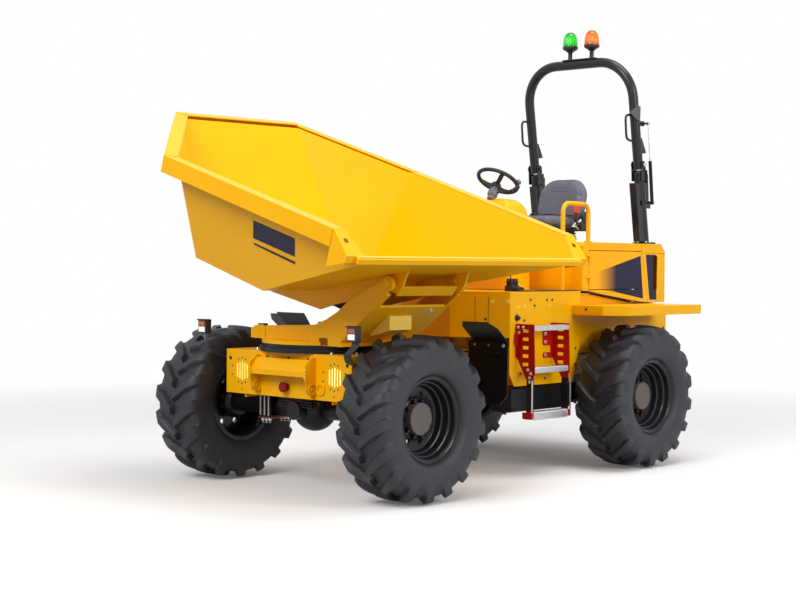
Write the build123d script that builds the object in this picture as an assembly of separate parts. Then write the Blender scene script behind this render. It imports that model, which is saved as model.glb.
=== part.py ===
"""Site dumper: a centre-articulated four-wheel carrier with a swivelling, tipping skip.

Working frame: +X forward, +Y to the machine's left, +Z up, millimetres, with x = 0 under the front axle and
y = 0 on the centreline. Each piece is moved to the stored frame by place() when it is written: that frame's
origin is on the ground under the middle of the machine's box.
Skip and turret are drawn in their own travel frame, u forward from the slew axis and v to the left, and are
then swung by skip_swing and tipped by skip_tip to the pose in which the machine is stored.
"""
from build123d import *
import os
from math import atan2, cos, degrees, hypot, pi, radians, sin, tan

# ---------------------------------------------------------------- driving sizes
box_middle_x = -1238.0        # middle of the stored box along X, from the front axle
box_middle_y = 190.0          # middle of the stored box along Y, from the centreline

wheelbase = 2560.0
track = 1755.0
tyre_d = 1075.0
tyre_w = 405.0
rim_r = 254.0                 # bead seat radius
flange_r = 278.0
flange_in = 46.0              # rim flange, in from the tyre's side
flange_t = 6.0
dish_depth = 150.0            # from the rim's outer flange in to the wheel disc
hub_cap_r = 105.0
rim_t = 10.0
well_r = 234.0                # outside of the rim's drop centre
hand_holes = 8
hand_hole_r = 19.0
sheet = 8.0                   # wall of the skip and other heavy sheet
plate = 12.0                  # chassis plate
running = 0.5                 # running clearance at pins and shafts
touch = 0.3                   # gap between a seated curved or soft piece and its seat

slew_x = -120.0               # slew axis from the front axle
slew_r = 466.0
deck_z = 930.0                # top of the front deck
ring_h = 55.0
skip_swing = 85.0             # degrees to the left, as stored
skip_tip = 12.0               # degrees forward from the travel position, as stored
tip_u = 950.0                 # tip hinge, in the turret's own frame
tip_drop = 65.0               # tip hinge below the chute's plate
tip_pin_r = 30.0
skip_pitch = 5.0              # the skip's side rims fall this many degrees forward in travel
skip_floor_z = 1142.0         # skip sizes, in the skip's own frame with its side rims level
chute_foot_u = 290.0
lip_u = 1324.0
lip_z = 1690.0
lip_h = 42.0
tip_z = skip_floor_z + (tip_u - chute_foot_u) * (lip_z - lip_h - skip_floor_z) / (lip_u - chute_foot_u) - tip_drop

pivot_x = -wheelbase / 2      # centre pivot of the articulation
pivot_pin_r = 35.0
rear_x = -wheelbase
axle_z = tyre_d / 2
axle_tube_r = 65.0
frame_floor_z = axle_z + axle_tube_r + 5.0
floor_z = 1330.0              # operator's footplate
body_y = 620.0                # outer face of the mid body
cowl_y = 600.0
cowl_top_z = 1700.0
cowl_front_x = -2250.0
door_rear_x = -3050.0
cowl_rear_x = -3400.0
fender_z = 1223.0
fender_y = (track + tyre_w) / 2 - 30.0
rops_y = 515.0
rops_tube_r = 41.0
rops_lean = 9.0
rops_fold_z = 2330.0
rops_foot_x = -3215.0
rops_foot_z = 1740.0
rops_top_z = 3197.0

nodes = {}


# ---------------------------------------------------------------- small helpers
def block(x, y, z):
    """A box between two limits on each axis."""
    size = (x[1] - x[0], y[1] - y[0], z[1] - z[0])
    return Pos((x[0] + x[1]) / 2, (y[0] + y[1]) / 2, (z[0] + z[1]) / 2) * Box(*size)


def prism(points, height):
    """A prism that stands on a polygon of (x, y) points, up along Z."""
    return extrude(Polygon(*points, align=None), height, dir=(0, 0, 1))


def across(points, y0, y1):
    """A side profile of (x, z) points, extruded across the machine from y0 to y1."""
    return Plane((0, y1, 0), x_dir=(1, 0, 0), z_dir=(0, -1, 0)) * prism(points, y1 - y0)


def along(points, x0, x1):
    """A front profile of (y, z) points, extruded forward from x0 to x1."""
    return Plane((x0, 0, 0), x_dir=(0, 1, 0), z_dir=(1, 0, 0)) * prism(points, x1 - x0)


def upward(points, z0, z1):
    """A plan of (x, y) points, extruded up from z0 to z1."""
    return Pos(0, 0, z0) * prism(points, z1 - z0)


def bar(start, end, radius):
    """A round bar between two points."""
    line = Vector(*end) - Vector(*start)
    at = Plane(origin=start, z_dir=line)
    return at * Cylinder(radius, line.length, align=(Align.CENTER, Align.CENTER, Align.MIN))


def tube(points, bend, radius):
    """A round tube along straight runs joined by bends of one radius."""
    path = FilletPolyline(*points, radius=bend)
    return sweep(Plane(origin=path @ 0, z_dir=path % 0) * Circle(radius), path)


def strip(start, end, width, thick, y0):
    """A flat bar in a side view: its line from start to end (x, z), thick measured to its left."""
    dx, dz = end[0] - start[0], end[1] - start[1]
    length = hypot(dx, dz)
    nx, nz = -dz / length * thick, dx / length * thick
    points = [start, end, (end[0] + nx, end[1] + nz), (start[0] + nx, start[1] + nz)]
    return across(points, y0, y0 + width)


def mirrored(shape):
    """The shape and its mirror image across the centreline."""
    return shape + mirror(shape, Plane.XZ)


def add(name, shape):
    """Keep a finished piece under its node's name."""
    nodes[name] = shape


def turret_place(shape):
    """From the travel frame to the stored swing about the slew axis."""
    return Pos(slew_x, 0, 0) * Rot(0, 0, skip_swing) * shape


def tipped(shape, angle):
    """Tip forward about the tip hinge, in the travel frame."""
    return Pos(tip_u, 0, tip_z) * Rot(0, angle, 0) * Pos(-tip_u, 0, -tip_z) * shape


def skip_place(shape):
    """From the skip's own frame, in which its side rims are level, to the stored pose."""
    return turret_place(tipped(shape, skip_pitch + skip_tip))


# ---------------------------------------------------------------- wheels
lug_pitches = 17              # lugs on each half of the tread
lug_h = 36.0
side_facets = 2 * lug_pitches


def lug_rows():
    """Table of one half of the tread, from the middle of a lug's inner end to its foot on the sidewall:
    (distance from the middle, radius) at the root and at the top, then the lug's sweep and half width."""
    half, r = tyre_w / 2, tyre_d / 2
    return [
        # root y, root r, top y, top r, sweep degrees, half width degrees
        (14.0, r - lug_h, 16.0, r, 0.5, 3.0),
        (half - 34, r - lug_h - 12, half - 34, r - 4, 14.0, 3.8),
        (half - 12, r - 104, half, r - 96, 17.5, 4.0),
    ]


def ground_turn():
    """Turn at which a lug's top corner is straight below the axle, so that the tyre stands on it."""
    first = lug_rows()[0]
    return 270.0 - first[4] - first[5]


def lug_row(row, hand):
    """Corners of one row round the whole tyre, four to a lug: root, top, top, root."""
    root_y, root_r, top_y, top_r, sweep, half_w = row
    pitch = 360.0 / lug_pitches
    corners = []
    for k in range(lug_pitches):
        start = ground_turn() + pitch * (k if hand > 0 else k + 0.5) + sweep
        for turn, y, radius in ((-half_w - 1.4, root_y, root_r), (-half_w, top_y, top_r), (half_w, top_y, top_r),
                                (half_w + 1.4, root_y, root_r)):
            a = radians(start + turn)
            corners.append(Vector(radius * cos(a), hand * y, radius * sin(a)))
    return corners


def even_row(radius, y, count, first):
    """Corners at equal steps on one circle."""
    turns = [radians(first + 360.0 / count * k) for k in range(count)]
    return [Vector(radius * cos(a), y, radius * sin(a)) for a in turns]


def facet(*corners):
    return Face(Wire.make_polygon(corners))


def tyre_body():
    """A wide lugged traction tyre, its axis along Y and centred on the origin: flat facets between rows of
    corners, with swept lugs in two half rows a half pitch apart."""
    half, r = tyre_w / 2, tyre_d / 2
    toe = half - flange_in - flange_t - touch
    flat = 1 / cos(pi / side_facets)          # keeps a ring's flats clear of the round rim inside
    pitch = 360.0 / lug_pitches
    crown = even_row(r - lug_h, 0, 4 * lug_pitches, ground_turn() - 0.375 * pitch)
    beads = []
    faces = []
    for hand in (1, -1):
        shift = 0 if hand > 0 else 2
        previous = crown[shift:] + crown[:shift]
        for row in lug_rows():
            current = lug_row(row, hand)
            for k in range(len(current)):
                n = (k + 1) % len(current)
                faces += [facet(previous[k], previous[n], current[n]), facet(previous[k], current[n], current[k])]
            previous = current
        first = ground_turn() + lug_rows()[-1][4] + (0 if hand > 0 else 0.5) * pitch
        ring_now = even_row(r - 150, hand * half, side_facets, first)
        for k in range(lug_pitches):
            root, top, far_top, far_root = previous[4 * k:4 * k + 4]
            following = previous[(4 * k + 4) % len(previous)]
            under, gap, under_next = ring_now[2 * k], ring_now[2 * k + 1], ring_now[(2 * k + 2) % side_facets]
            faces += [facet(root, top, under), facet(top, far_top, under), facet(far_top, far_root, under),
                      facet(far_root, gap, under), facet(far_root, following, gap), facet(following, under_next, gap)]
        for radius, y in ((flange_r + 14, half - 14), ((flange_r + touch) * flat, toe), ((rim_r + touch) * flat, toe)):
            ring_next = even_row(radius, hand * y, side_facets, first)
            for k in range(side_facets):
                n = (k + 1) % side_facets
                faces.append(facet(ring_now[k], ring_now[n], ring_next[n], ring_next[k]))
            ring_now = ring_next
        beads.append(ring_now)
    left, right = beads[0], beads[1][-1:] + beads[1][:-1]
    for k in range(side_facets):
        n = (k + 1) % side_facets
        faces.append(facet(left[k], left[n], right[n], right[k]))
    return Solid(Shell(faces))


def rim_body(side):
    """A deep-dish disc wheel. side is +1 where its open face looks to the left."""
    half = tyre_w / 2
    flange = half - flange_in
    seat_in = flange - 62                     # inner end of each bead seat
    outer = [(flange_r, -flange), (flange_r, -flange + flange_t), (rim_r, -flange + flange_t), (rim_r, -seat_in),
             (well_r, -seat_in + 22), (well_r, seat_in - 22), (rim_r, seat_in), (rim_r, flange - flange_t),
             (flange_r, flange - flange_t), (flange_r, flange)]
    inner = [(rim_r - rim_t, flange), (rim_r - rim_t, seat_in + 6), (well_r - rim_t, seat_in - 18),
             (well_r - rim_t, -seat_in + 18), (rim_r - rim_t, -seat_in - 6), (rim_r - rim_t, -flange)]
    rim = revolve(Plane.XY * Polygon(*outer, *inner, align=None), Axis.Y)
    disc_y = flange - dish_depth
    disc = [
        (0, disc_y - 12), (well_r - rim_t + 1, disc_y - 12), (well_r - rim_t + 1, disc_y + 8),
        (hub_cap_r + 84, disc_y), (hub_cap_r + 18, disc_y), (hub_cap_r + 12, disc_y + 16), (hub_cap_r, disc_y + 16),
        (hub_cap_r, disc_y + 62), (hub_cap_r - 8, disc_y + 70), (0, disc_y + 70),
    ]
    rim += revolve(Plane.XY * Polygon(*disc, align=None), Axis.Y)
    for k in range(hand_holes):
        hole = Pos(hub_cap_r + 52, disc_y, 0) * Rot(90, 0, 0) * Cylinder(hand_hole_r, 60)
        rim -= Rot(0, (k + 0.5) * 360.0 / hand_holes, 0) * hole
    if side < 0:
        rim = mirror(rim, Plane.XZ)
    return rim


wheel_places = {
    "front_left": (0.0, 1), "front_right": (0.0, -1), "rear_left": (rear_x, 1), "rear_right": (rear_x, -1),
}
for wheel, (wheel_x, side) in wheel_places.items():
    centre = Pos(wheel_x, side * track / 2, axle_z)
    add("tyre_" + wheel, centre * tyre_body())
    add("rim_" + wheel, centre * rim_body(side))

# inner face of the wheel disc, from the centreline
disc_face_y = track / 2 + (tyre_w / 2 - flange_in - dish_depth - 12)


# ---------------------------------------------------------------- axles
def axle(x):
    """A driven beam axle with its differential and hub flanges."""
    hub_face = disc_face_y - running
    beam = Pos(x, 0, axle_z) * Rot(90, 0, 0) * Cylinder(axle_tube_r, 2 * (hub_face - 90))
    case = Pos(x, 0, axle_z) * Sphere(150)
    case &= block((x - 150, x + 150), (-140, 140), (axle_z - 150, frame_floor_z - touch))
    nose = Pos(x, 0, axle_z) * Rot(0, 90, 0) * Cylinder(62, 420)
    hub = revolve(Plane.XY * Polygon(
        (0, hub_face - 120), (95, hub_face - 120), (118, hub_face - 90), (118, hub_face - 40),
        (100, hub_face - 12), (100, hub_face), (0, hub_face), align=None), Axis.Y)
    return beam + case + nose + mirrored(Pos(x, 0, axle_z) * hub)


add("front_axle", axle(0.0))
add("rear_axle", axle(rear_x))

# ---------------------------------------------------------------- front chassis
front_x = 270.0               # front face of the front plate
front_half = (track - tyre_w) / 2 - 80.0  # half width of the front plate and deck, clear of the tyres
front_low_z = 630.0
web_y = 420.0                 # outer face of the chassis side plates
yoke_y = 180.0
yoke_front_x = pivot_x + 380
flare_x = pivot_x + 590
ear_t = 25.0                  # thickness of the pivot ears
lamp_y = front_half - 155.0
lamp_z = 786.0
lamp_r = 64.0
lamp_depth = 44.0
belly_z = 500.0               # underside of the lower pivot ear
pivot_mid_z = (belly_z + deck_z) / 2
deck_flare_x = -600.0         # behind here the deck narrows towards the pivot
gusset_y = 270.0


def yoke_outline(y_offset, rear):
    half = [
        (front_x - plate, web_y - y_offset), (flare_x, web_y - y_offset),
        (yoke_front_x, yoke_y - y_offset), (rear, yoke_y - y_offset),
    ]
    return half + [(x, -y) for x, y in reversed(half)]


web_rear_x = pivot_x + 160
belly_front_x = -300.0
box_walls = upward(yoke_outline(0, web_rear_x), frame_floor_z, deck_z - ear_t)
box_walls -= upward(yoke_outline(plate, web_rear_x - 1), frame_floor_z - 1, deck_z)
box_walls -= mirrored(block((front_x - plate - lamp_depth - 20, front_x), (lamp_y - lamp_r - 20, lamp_y + lamp_r + 20),
                            (lamp_z - lamp_r - 20, lamp_z + lamp_r + 20)))
yoke_walls = upward(yoke_outline(0, web_rear_x), belly_z, frame_floor_z)
yoke_walls -= upward(yoke_outline(plate, web_rear_x - 1), belly_z - 1, frame_floor_z + 1)
yoke_walls &= block((web_rear_x, belly_front_x), (-web_y, web_y), (belly_z, frame_floor_z))

deck_half = [(front_x, front_half), (deck_flare_x, front_half), (flare_x, web_y), (yoke_front_x, yoke_y),
             (pivot_x + 90, 100), (pivot_x, 100)]
deck_plan = deck_half + [(x, -y) for x, y in reversed(deck_half)]
deck = upward(deck_plan, deck_z - ear_t, deck_z)
deck += Pos(pivot_x, 0, deck_z - ear_t / 2) * Cylinder(100, ear_t)
deck -= Pos(slew_x, 0, deck_z - ear_t / 2) * Cylinder(330, ear_t + 2)

floor_half = [(belly_front_x, web_y), (flare_x, web_y), (yoke_front_x, yoke_y), (pivot_x + 90, 100), (pivot_x, 100)]
floor_plan = floor_half + [(x, -y) for x, y in reversed(floor_half)]
belly = upward(floor_plan, belly_z, belly_z + ear_t)
belly += Pos(pivot_x, 0, belly_z + ear_t / 2) * Cylinder(100, ear_t)

front_plate = block((front_x - plate, front_x), (-front_half, front_half), (front_low_z, deck_z - ear_t))
for lamp_side in (-1, 1):
    for slot in range(-2, 3):
        slot_y = lamp_side * lamp_y + slot * 24
        slot_h = 2 * (lamp_r - 8 * abs(slot))
        front_plate -= block((front_x - plate - 1, front_x + 1), (slot_y - 7, slot_y + 7),
                             (lamp_z - slot_h / 2, lamp_z + slot_h / 2))
recovery_hole_r = 26.0
recovery_z = 700.0
front_plate -= Pos(front_x, 0, recovery_z) * Rot(0, 90, 0) * Cylinder(recovery_hole_r, 60)

gusset = across([(front_x, front_low_z + 10), (front_x + 30, front_low_z + 10), (front_x + 95, 760),
                 (front_x + 95, 860), (front_x + 40, deck_z - ear_t), (front_x, deck_z - ear_t)],
                gusset_y - 15, gusset_y)
eye_hole_r = 16.0             # tie-down eye in each gusset
eye_hole = (front_x + 30, 700.0)
gusset -= Pos(eye_hole[0], gusset_y - 7.5, eye_hole[1]) * Rot(90, 0, 0) * Cylinder(eye_hole_r, 40)
ledge = across([(front_x, 890), (front_x + 34, 890), (front_x + 88, 815), (front_x + 88, 780),
                (front_x + 80, 780), (front_x + 80, 811), (front_x + 30, 882), (front_x, 882)],
               -gusset_y + 15, gusset_y - 15)
side_wing = block((front_x - plate - 220, front_x - plate), (front_half - plate, front_half), (700, deck_z - ear_t))

front_chassis = box_walls + yoke_walls + deck + belly + front_plate + mirrored(gusset) + ledge
front_chassis += mirrored(side_wing)
front_chassis -= Pos(pivot_x, 0, pivot_mid_z) * Cylinder(pivot_pin_r + 0.1, 600)
add("front_chassis", front_chassis)

pin_head_t = 12.0
pivot_pin = Pos(pivot_x, 0, pivot_mid_z) * Cylinder(pivot_pin_r, deck_z - belly_z + 2 * pin_head_t)
for head_z in (deck_z + touch + pin_head_t / 2, belly_z - touch - pin_head_t / 2):
    pivot_pin += Pos(pivot_x, 0, head_z) * Cylinder(60, pin_head_t)
add("pivot_pin", pivot_pin)

# clamp plates and long bolts that hold the axle up to the chassis
clamp = block((-110, 110), (web_y - 90, web_y + 20), (axle_z - axle_tube_r - 20, axle_z - axle_tube_r - touch))
for bolt_x in (-88, 88):
    for bolt_y in (web_y - 70, web_y - 35, web_y):
        clamp += bar((bolt_x, bolt_y, axle_z - axle_tube_r - 45), (bolt_x, bolt_y, frame_floor_z), 11)
saddle = block((-120, 120), (web_y - 95, web_y + 25), (frame_floor_z, frame_floor_z + 22))
saddle -= block((-200, 200), (web_y - plate, web_y), (frame_floor_z - 1, frame_floor_z + 60))
add("axle_clamps", mirrored(clamp + saddle))

lamp = Pos(front_x - plate - touch - lamp_depth / 2, lamp_y, lamp_z) * Rot(0, 90, 0) * Cylinder(lamp_r + 8, lamp_depth)
lamp += block((front_x - plate - lamp_depth, front_x - plate - touch), (lamp_y - 20, front_half - plate - touch),
              (lamp_z - 20, lamp_z + 20))
add("headlamps", mirrored(lamp))

tow_pin = Pos(front_x - 6, 0, recovery_z) * Rot(0, 90, 0) * Cylinder(recovery_hole_r - 1, 70)
tow_pin += Pos(front_x + 35, 0, recovery_z) * Rot(0, 90, 0) * Cylinder(recovery_hole_r + 8, 14)
add("tow_pin", tow_pin)

marker_x = 380.0
marker_y = front_half + 115.0
marker_z = 1080.0
stalk = strip((front_x - 40, deck_z - 120), (marker_x - 30, deck_z - 60), 40, 8, front_half)
stalk += block((front_x - 60, front_x - 20), (front_half, front_half + 40), (deck_z - 140, deck_z - 100))
stalk += bar((marker_x - 30, front_half + 20, deck_z - 56), (marker_x - 18, marker_y, marker_z - 40), 12)
lights = block((marker_x - 30, marker_x + 20), (marker_y - 36, marker_y + 36), (marker_z - 45, marker_z + 45))
add("marker_lights", mirrored(stalk + lights))

# ---------------------------------------------------------------- front guards
guard_out_y = (track + tyre_w) / 2
guard_in_y = guard_out_y - 290.0
guard_top = (-560.0, 1140.0)
guard_knee = (-720.0, 1010.0)
guard_foot_z = 590.0
guard_t = 6.0
guard = strip(guard_knee, guard_top, guard_out_y - guard_in_y, guard_t, guard_in_y)
guard += block((guard_knee[0] - guard_t, guard_knee[0]), (guard_in_y - 45, guard_out_y), (guard_foot_z, guard_knee[1] + 2))
arm_y = (front_half - 60, front_half - 5)
guard_arm = block((guard_knee[0] - 20, -540), arm_y, (deck_z, deck_z + 10))
guard_arm += block((guard_knee[0], guard_knee[0] + 40), (arm_y[0], guard_out_y - 60), (deck_z, deck_z + 10))
guard_arm += block((guard_knee[0], guard_knee[0] + 8), (guard_in_y, guard_out_y - 60), (deck_z, guard_knee[1] - 10))
guard_face = [(guard_in_y - 45, guard_foot_z), (guard_out_y - 60, guard_foot_z), (guard_out_y, guard_foot_z + 60),
              (guard_out_y, guard_top[1] - 40), (guard_out_y - 50, guard_top[1] + 10),
              (guard_in_y + 40, guard_top[1] + 10), (guard_in_y, guard_top[1] - 30), (guard_in_y - 45, guard_knee[1])]
guard &= along(guard_face, guard_knee[0] - 30, guard_top[0] + 30)
add("front_guards", mirrored(guard + guard_arm))

# ---------------------------------------------------------------- slew ring and turret
ring_split = deck_z + 32
ring_inner_r = 380.0
turret_z = deck_z + ring_h    # underside of the turret's base plate
base_t = 25.0


def ring(outer, z0, z1):
    body = Pos(0, 0, (z0 + z1) / 2) * (Cylinder(outer, z1 - z0) - Cylinder(ring_inner_r, z1 - z0 + 2))
    return body


add("slew_ring_base", Pos(slew_x, 0, 0) * ring(slew_r, deck_z, ring_split))
add("slew_ring_top", turret_place(ring(slew_r - 14, ring_split + running, turret_z)))

turret_y = 330.0              # outer face of the turret's side plates
turret_t = 15.0
side_points = [
    (-420, turret_z + base_t), (-420, 1080), (-290, 1097), (250, 1120), (363, 1158), (475, 1212), (587, 1289),
    (tip_u - 50, tip_z + 22), (tip_u, tip_z + 46), (tip_u + 40, tip_z + 24), (tip_u + 48, tip_z - 15), (657, 1125),
    (500, turret_z + base_t),
]
side = across(side_points, turret_y - turret_t, turret_y)
side += Pos(tip_u, turret_y - turret_t / 2, tip_z) * Rot(90, 0, 0) * Cylinder(48, turret_t + 14)
turret = Pos(0, 0, turret_z + base_t / 2) * Cylinder(slew_r - 14, base_t)
turret += block((0, 520), (-turret_y, turret_y), (turret_z, turret_z + base_t)) & (
    Pos(0, 0, turret_z) * Cylinder(620, 3 * base_t))
turret += mirrored(side)
cross_line = [(481, turret_z + base_t - 14), (657, 1125), (940, 1325)]
cross = across(cross_line + [(x, z + 15) for x, z in reversed(cross_line)], -turret_y + 1, turret_y - 1)
cross -= block((830, 1100), (-295, 295), (1200, 1500))
turret += cross
turret += block((-432, -420), (-turret_y, turret_y), (turret_z + base_t, 1080))
ram_base = (560.0, 1140.0)    # tip ram's lower pin (u, z)
ram_eye = (-300.0, 1120.0)    # tip ram's upper pin on the skip in travel (u, z)
ram_r = 42.0
ram_pin_r = 22.0
ram_cheek_y = 50.0
ram_cheek = across([(400, turret_z + base_t), (500, turret_z + base_t), (640, 1118), (ram_base[0] + 40, 1180),
                    (ram_base[0] - 30, 1182), (ram_base[0] - 70, 1150)], ram_cheek_y, ram_cheek_y + 15)
turret += mirrored(ram_cheek)

bearer_y = 270.0              # middle of the skip's bearers
pin = Pos(tip_u, 0, tip_z) * Rot(90, 0, 0) * Cylinder(tip_pin_r, 2 * turret_y + 40)
pin -= block((tip_u - 60, tip_u + 60), (-bearer_y + 30, bearer_y - 30), (tip_z - 60, tip_z + 60))
ram_pin = Pos(ram_base[0], 0, ram_base[1]) * Rot(90, 0, 0) * Cylinder(ram_pin_r, 2 * ram_cheek_y + 40)
add("turret_frame", turret_place(turret + pin + ram_pin))

flap = across([(-150, 1100), (-270, 1188), (20, 1188), (90, 1110), (60, turret_z + base_t), (-120, turret_z + base_t)],
              -240, -232)
add("turret_flap", turret_place(flap))

# ---------------------------------------------------------------- tip ram
def travel_point(u, z, angle):
    """Where a skip point of the travel position goes when the skip tips forward."""
    du, dz = u - tip_u, z - tip_z
    a = radians(angle)
    return tip_u + du * cos(a) + dz * sin(a), tip_z - du * sin(a) + dz * cos(a)


eye_now = travel_point(ram_eye[0], ram_eye[1], skip_tip)
ram_length = hypot(eye_now[0] - ram_base[0], eye_now[1] - ram_base[1])
ram_angle = degrees(atan2(eye_now[1] - ram_base[1], eye_now[0] - ram_base[0]))
ram_barrel_l = 720.0
rod_r = 26.0
rod_l = 765.0


def ram_place(shape):
    """From a ram drawn along +X at its base pin to the tip ram's stored line."""
    return turret_place(Pos(ram_base[0], 0, ram_base[1]) * Rot(0, -ram_angle, 0) * shape)


def ram_barrel(length, radius, pin_r, half_width, rod):
    """A cylinder barrel along +X from its base eye, hollow from its mouth."""
    body = Pos(0, 0, 0) * Rot(90, 0, 0) * Cylinder(pin_r + 18, 2 * half_width)
    body += bar((pin_r + 14, 0, 0), (length, 0, 0), radius)
    body -= bar((pin_r + 36, 0, 0), (length + 1, 0, 0), rod + running)
    body -= Rot(90, 0, 0) * Cylinder(pin_r + running, 2 * half_width + 2)
    return body


def ram_rod(length, eye_x, radius, pin_r, half_width):
    """A rod along +X that ends in an eye at eye_x."""
    body = bar((eye_x - length, 0, 0), (eye_x - pin_r - 4, 0, 0), radius)
    body += Pos(eye_x, 0, 0) * Rot(90, 0, 0) * Cylinder(pin_r + 14, 2 * half_width)
    body -= Pos(eye_x, 0, 0) * Rot(90, 0, 0) * Cylinder(pin_r + running, 2 * half_width + 2)
    return body


add("tip_ram_barrel", ram_place(ram_barrel(ram_barrel_l, ram_r, ram_pin_r, 45, rod_r)))
add("tip_ram_rod", ram_place(ram_rod(rod_l, ram_length, rod_r, ram_pin_r, 32)))

# ---------------------------------------------------------------- skip
rim_z = 1807.0                # side rims, in the skip's own frame
rear_rim_z = 1948.0
rim_front_u = lip_u - 161.0
rim_front_v = 1060.0
shoulder_u = -497.0
shoulder_v = 1140.0
rear_rim_u = -1300.0
rear_rim_v = 540.0
rim_w = 90.0
rim_drop = 110.0
floor_v = 760.0               # half width of the floor at the foot of the chute
floor_corner_u = -420.0
floor_rear_u = -620.0


def flipped(point, sign):
    return Vector(point.X, point.Y * sign, point.Z)


def half_space(solid, origin, normal):
    """Keep the part of a solid on the far side from the normal."""
    kept = split(solid, bisect_by=Plane(origin=origin, z_dir=normal), keep=Keep.BOTTOM)
    return kept


def skip_volume(inset):
    """The space inside the skip's outer faces, each moved in by inset, unbounded at its open sides."""
    wall_in = rim_w - sheet
    side_top = Vector(shoulder_u, shoulder_v - wall_in, rim_z)
    side_front = Vector(rim_front_u, rim_front_v - wall_in, rim_z)
    side_foot = Vector(chute_foot_u, floor_v, skip_floor_z)
    side_run = side_front - side_top
    side_normal = side_run.cross(side_foot - side_top).normalized()
    if side_normal.Y < 0:
        side_normal = side_normal * -1
    corner_v = floor_v + (floor_corner_u - chute_foot_u) * side_run.Y / side_run.X
    corner_foot = Vector(floor_corner_u, corner_v, skip_floor_z)
    slant = Vector(rear_rim_u - shoulder_u, rear_rim_v - shoulder_v, 0).normalized()
    inward = Vector(-slant.Y, slant.X, 0)
    if inward.Y > 0:
        inward = inward * -1
    corner_top = Vector(shoulder_u, shoulder_v, rim_z) + inward * wall_in
    corner_rear = Vector(rear_rim_u, rear_rim_v, rear_rim_z) + inward * wall_in
    corner_normal = (corner_rear - corner_top).cross(corner_foot - corner_top).normalized()
    if corner_normal.Y < 0:
        corner_normal = corner_normal * -1
    rear_top = Vector(rear_rim_u + wall_in, 0, rear_rim_z)
    rear_run = Vector(floor_rear_u, 0, skip_floor_z) - rear_top
    rear_normal = Vector(rear_run.Z, 0, -rear_run.X).normalized()
    if rear_normal.X > 0:
        rear_normal = rear_normal * -1
    chute_run = Vector(lip_u - chute_foot_u, 0, lip_z - lip_h - skip_floor_z)
    chute_normal = Vector(chute_run.Z, 0, -chute_run.X).normalized()
    if chute_normal.Z > 0:
        chute_normal = chute_normal * -1
    volume = block((rear_rim_u - 200, lip_u + 400), (-1400, 1400), (900, 2300))
    for hand in (1, -1):
        for foot, normal in ((side_foot, side_normal), (corner_foot, corner_normal)):
            volume = half_space(volume, flipped(foot - normal * inset, hand), flipped(normal, hand))
    volume = half_space(volume, rear_top - rear_normal * inset, rear_normal)
    volume = half_space(volume, Vector(0, 0, skip_floor_z + inset), Vector(0, 0, -1))
    volume = half_space(volume, Vector(chute_foot_u, 0, skip_floor_z) - chute_normal * inset, chute_normal)
    return volume


top_cut = across([(3000, rim_z - sheet), (shoulder_u, rim_z - sheet), (rear_rim_u, rear_rim_z - sheet),
                  (rear_rim_u - 700, rear_rim_z - sheet + 123), (rear_rim_u - 700, 3000), (3000, 3000)], -2000, 2000)
front_cut = across([(rim_front_u, rim_z + 10), (rim_front_u, rim_z), (lip_u, lip_z), (lip_u, 900), (3000, 900),
                    (3000, 2400), (rim_front_u, 2400)], -2000, 2000)
skip_outer = skip_volume(0.0)
skip_inner = skip_volume(sheet)
shell = skip_outer - skip_inner - top_cut - front_cut
add("skip_shell", skip_place(shell))


def mitred_bars(corners, section, overrun):
    """One bar per run between corners. section gives (inward, up) points from the corner line; every joint
    is cut on the upright plane that halves the turn, and the two ends are cut square."""
    bars = None
    points = [Vector(*c) for c in corners]
    for i in range(len(points) - 1):
        start, end = points[i], points[i + 1]
        run = (end - start).normalized()
        flat = Vector(run.X, run.Y, 0).normalized()
        inward = Vector(-flat.Y, flat.X, 0)
        if inward.dot(Vector(-400, 0, 0) - start) < 0:
            inward = inward * -1
        up = run.cross(inward) if run.cross(inward).Z > 0 else inward.cross(run)
        base = start - run * overrun
        length = (end - start).length + 2 * overrun
        if inward.cross(up).dot(run) < 0:
            base = end + run * overrun
        piece = Plane(origin=base, x_dir=inward, z_dir=inward.cross(up)) * prism(section, length)
        for j, corner, sign in ((i, start, -1), (i + 1, end, 1)):
            before = (points[j] - points[j - 1]).normalized() if j > 0 else run
            after = (points[j + 1] - points[j]).normalized() if j < len(points) - 1 else run
            halfway = Vector(before.X + after.X, before.Y + after.Y, 0).normalized() * sign
            piece = half_space(piece, corner, halfway)
        bars = piece if bars is None else bars + piece
    return bars


rim_corners = [
    (rim_front_u, -rim_front_v, rim_z), (shoulder_u, -shoulder_v, rim_z), (rear_rim_u, -rear_rim_v, rear_rim_z),
    (rear_rim_u, rear_rim_v, rear_rim_z), (shoulder_u, shoulder_v, rim_z), (rim_front_u, rim_front_v, rim_z),
]
rim_section = [(0, 0), (rim_w, 0), (rim_w, -sheet), (sheet, -sheet), (sheet, -rim_drop), (0, -rim_drop)]
skip_rim = mitred_bars(rim_corners, rim_section, 150)

# front end of each side rim: a folded channel down to the lip, open below, with a lifting eye in its top
eye_r = 18.0
cheek_out_v = rim_front_v - 4
channel = across([(rim_front_u, rim_z), (lip_u, lip_z), (lip_u, lip_z - lip_h), (rim_front_u, lip_z - 115)],
                 floor_v, cheek_out_v)
fall = atan2(rim_z - lip_z, lip_u - rim_front_u)
down = sheet / cos(fall)                      # the sloping top's thickness, measured upright
channel -= across([(rim_front_u - 10, rim_z - down + 10 * tan(fall)), (lip_u - sheet, lip_z - down + sheet * tan(fall)),
                   (lip_u - sheet, lip_z - 200), (rim_front_u - 10, lip_z - 200)], floor_v - 1, cheek_out_v - sheet)
channel -= skip_outer
eye_at = ((rim_front_u + lip_u) / 2 - 10, cheek_out_v - 52, (rim_z + lip_z) / 2 + 10 * tan(fall))
channel -= Pos(*eye_at) * Rot(0, degrees(fall), 0) * Cylinder(eye_r, 60)

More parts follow.
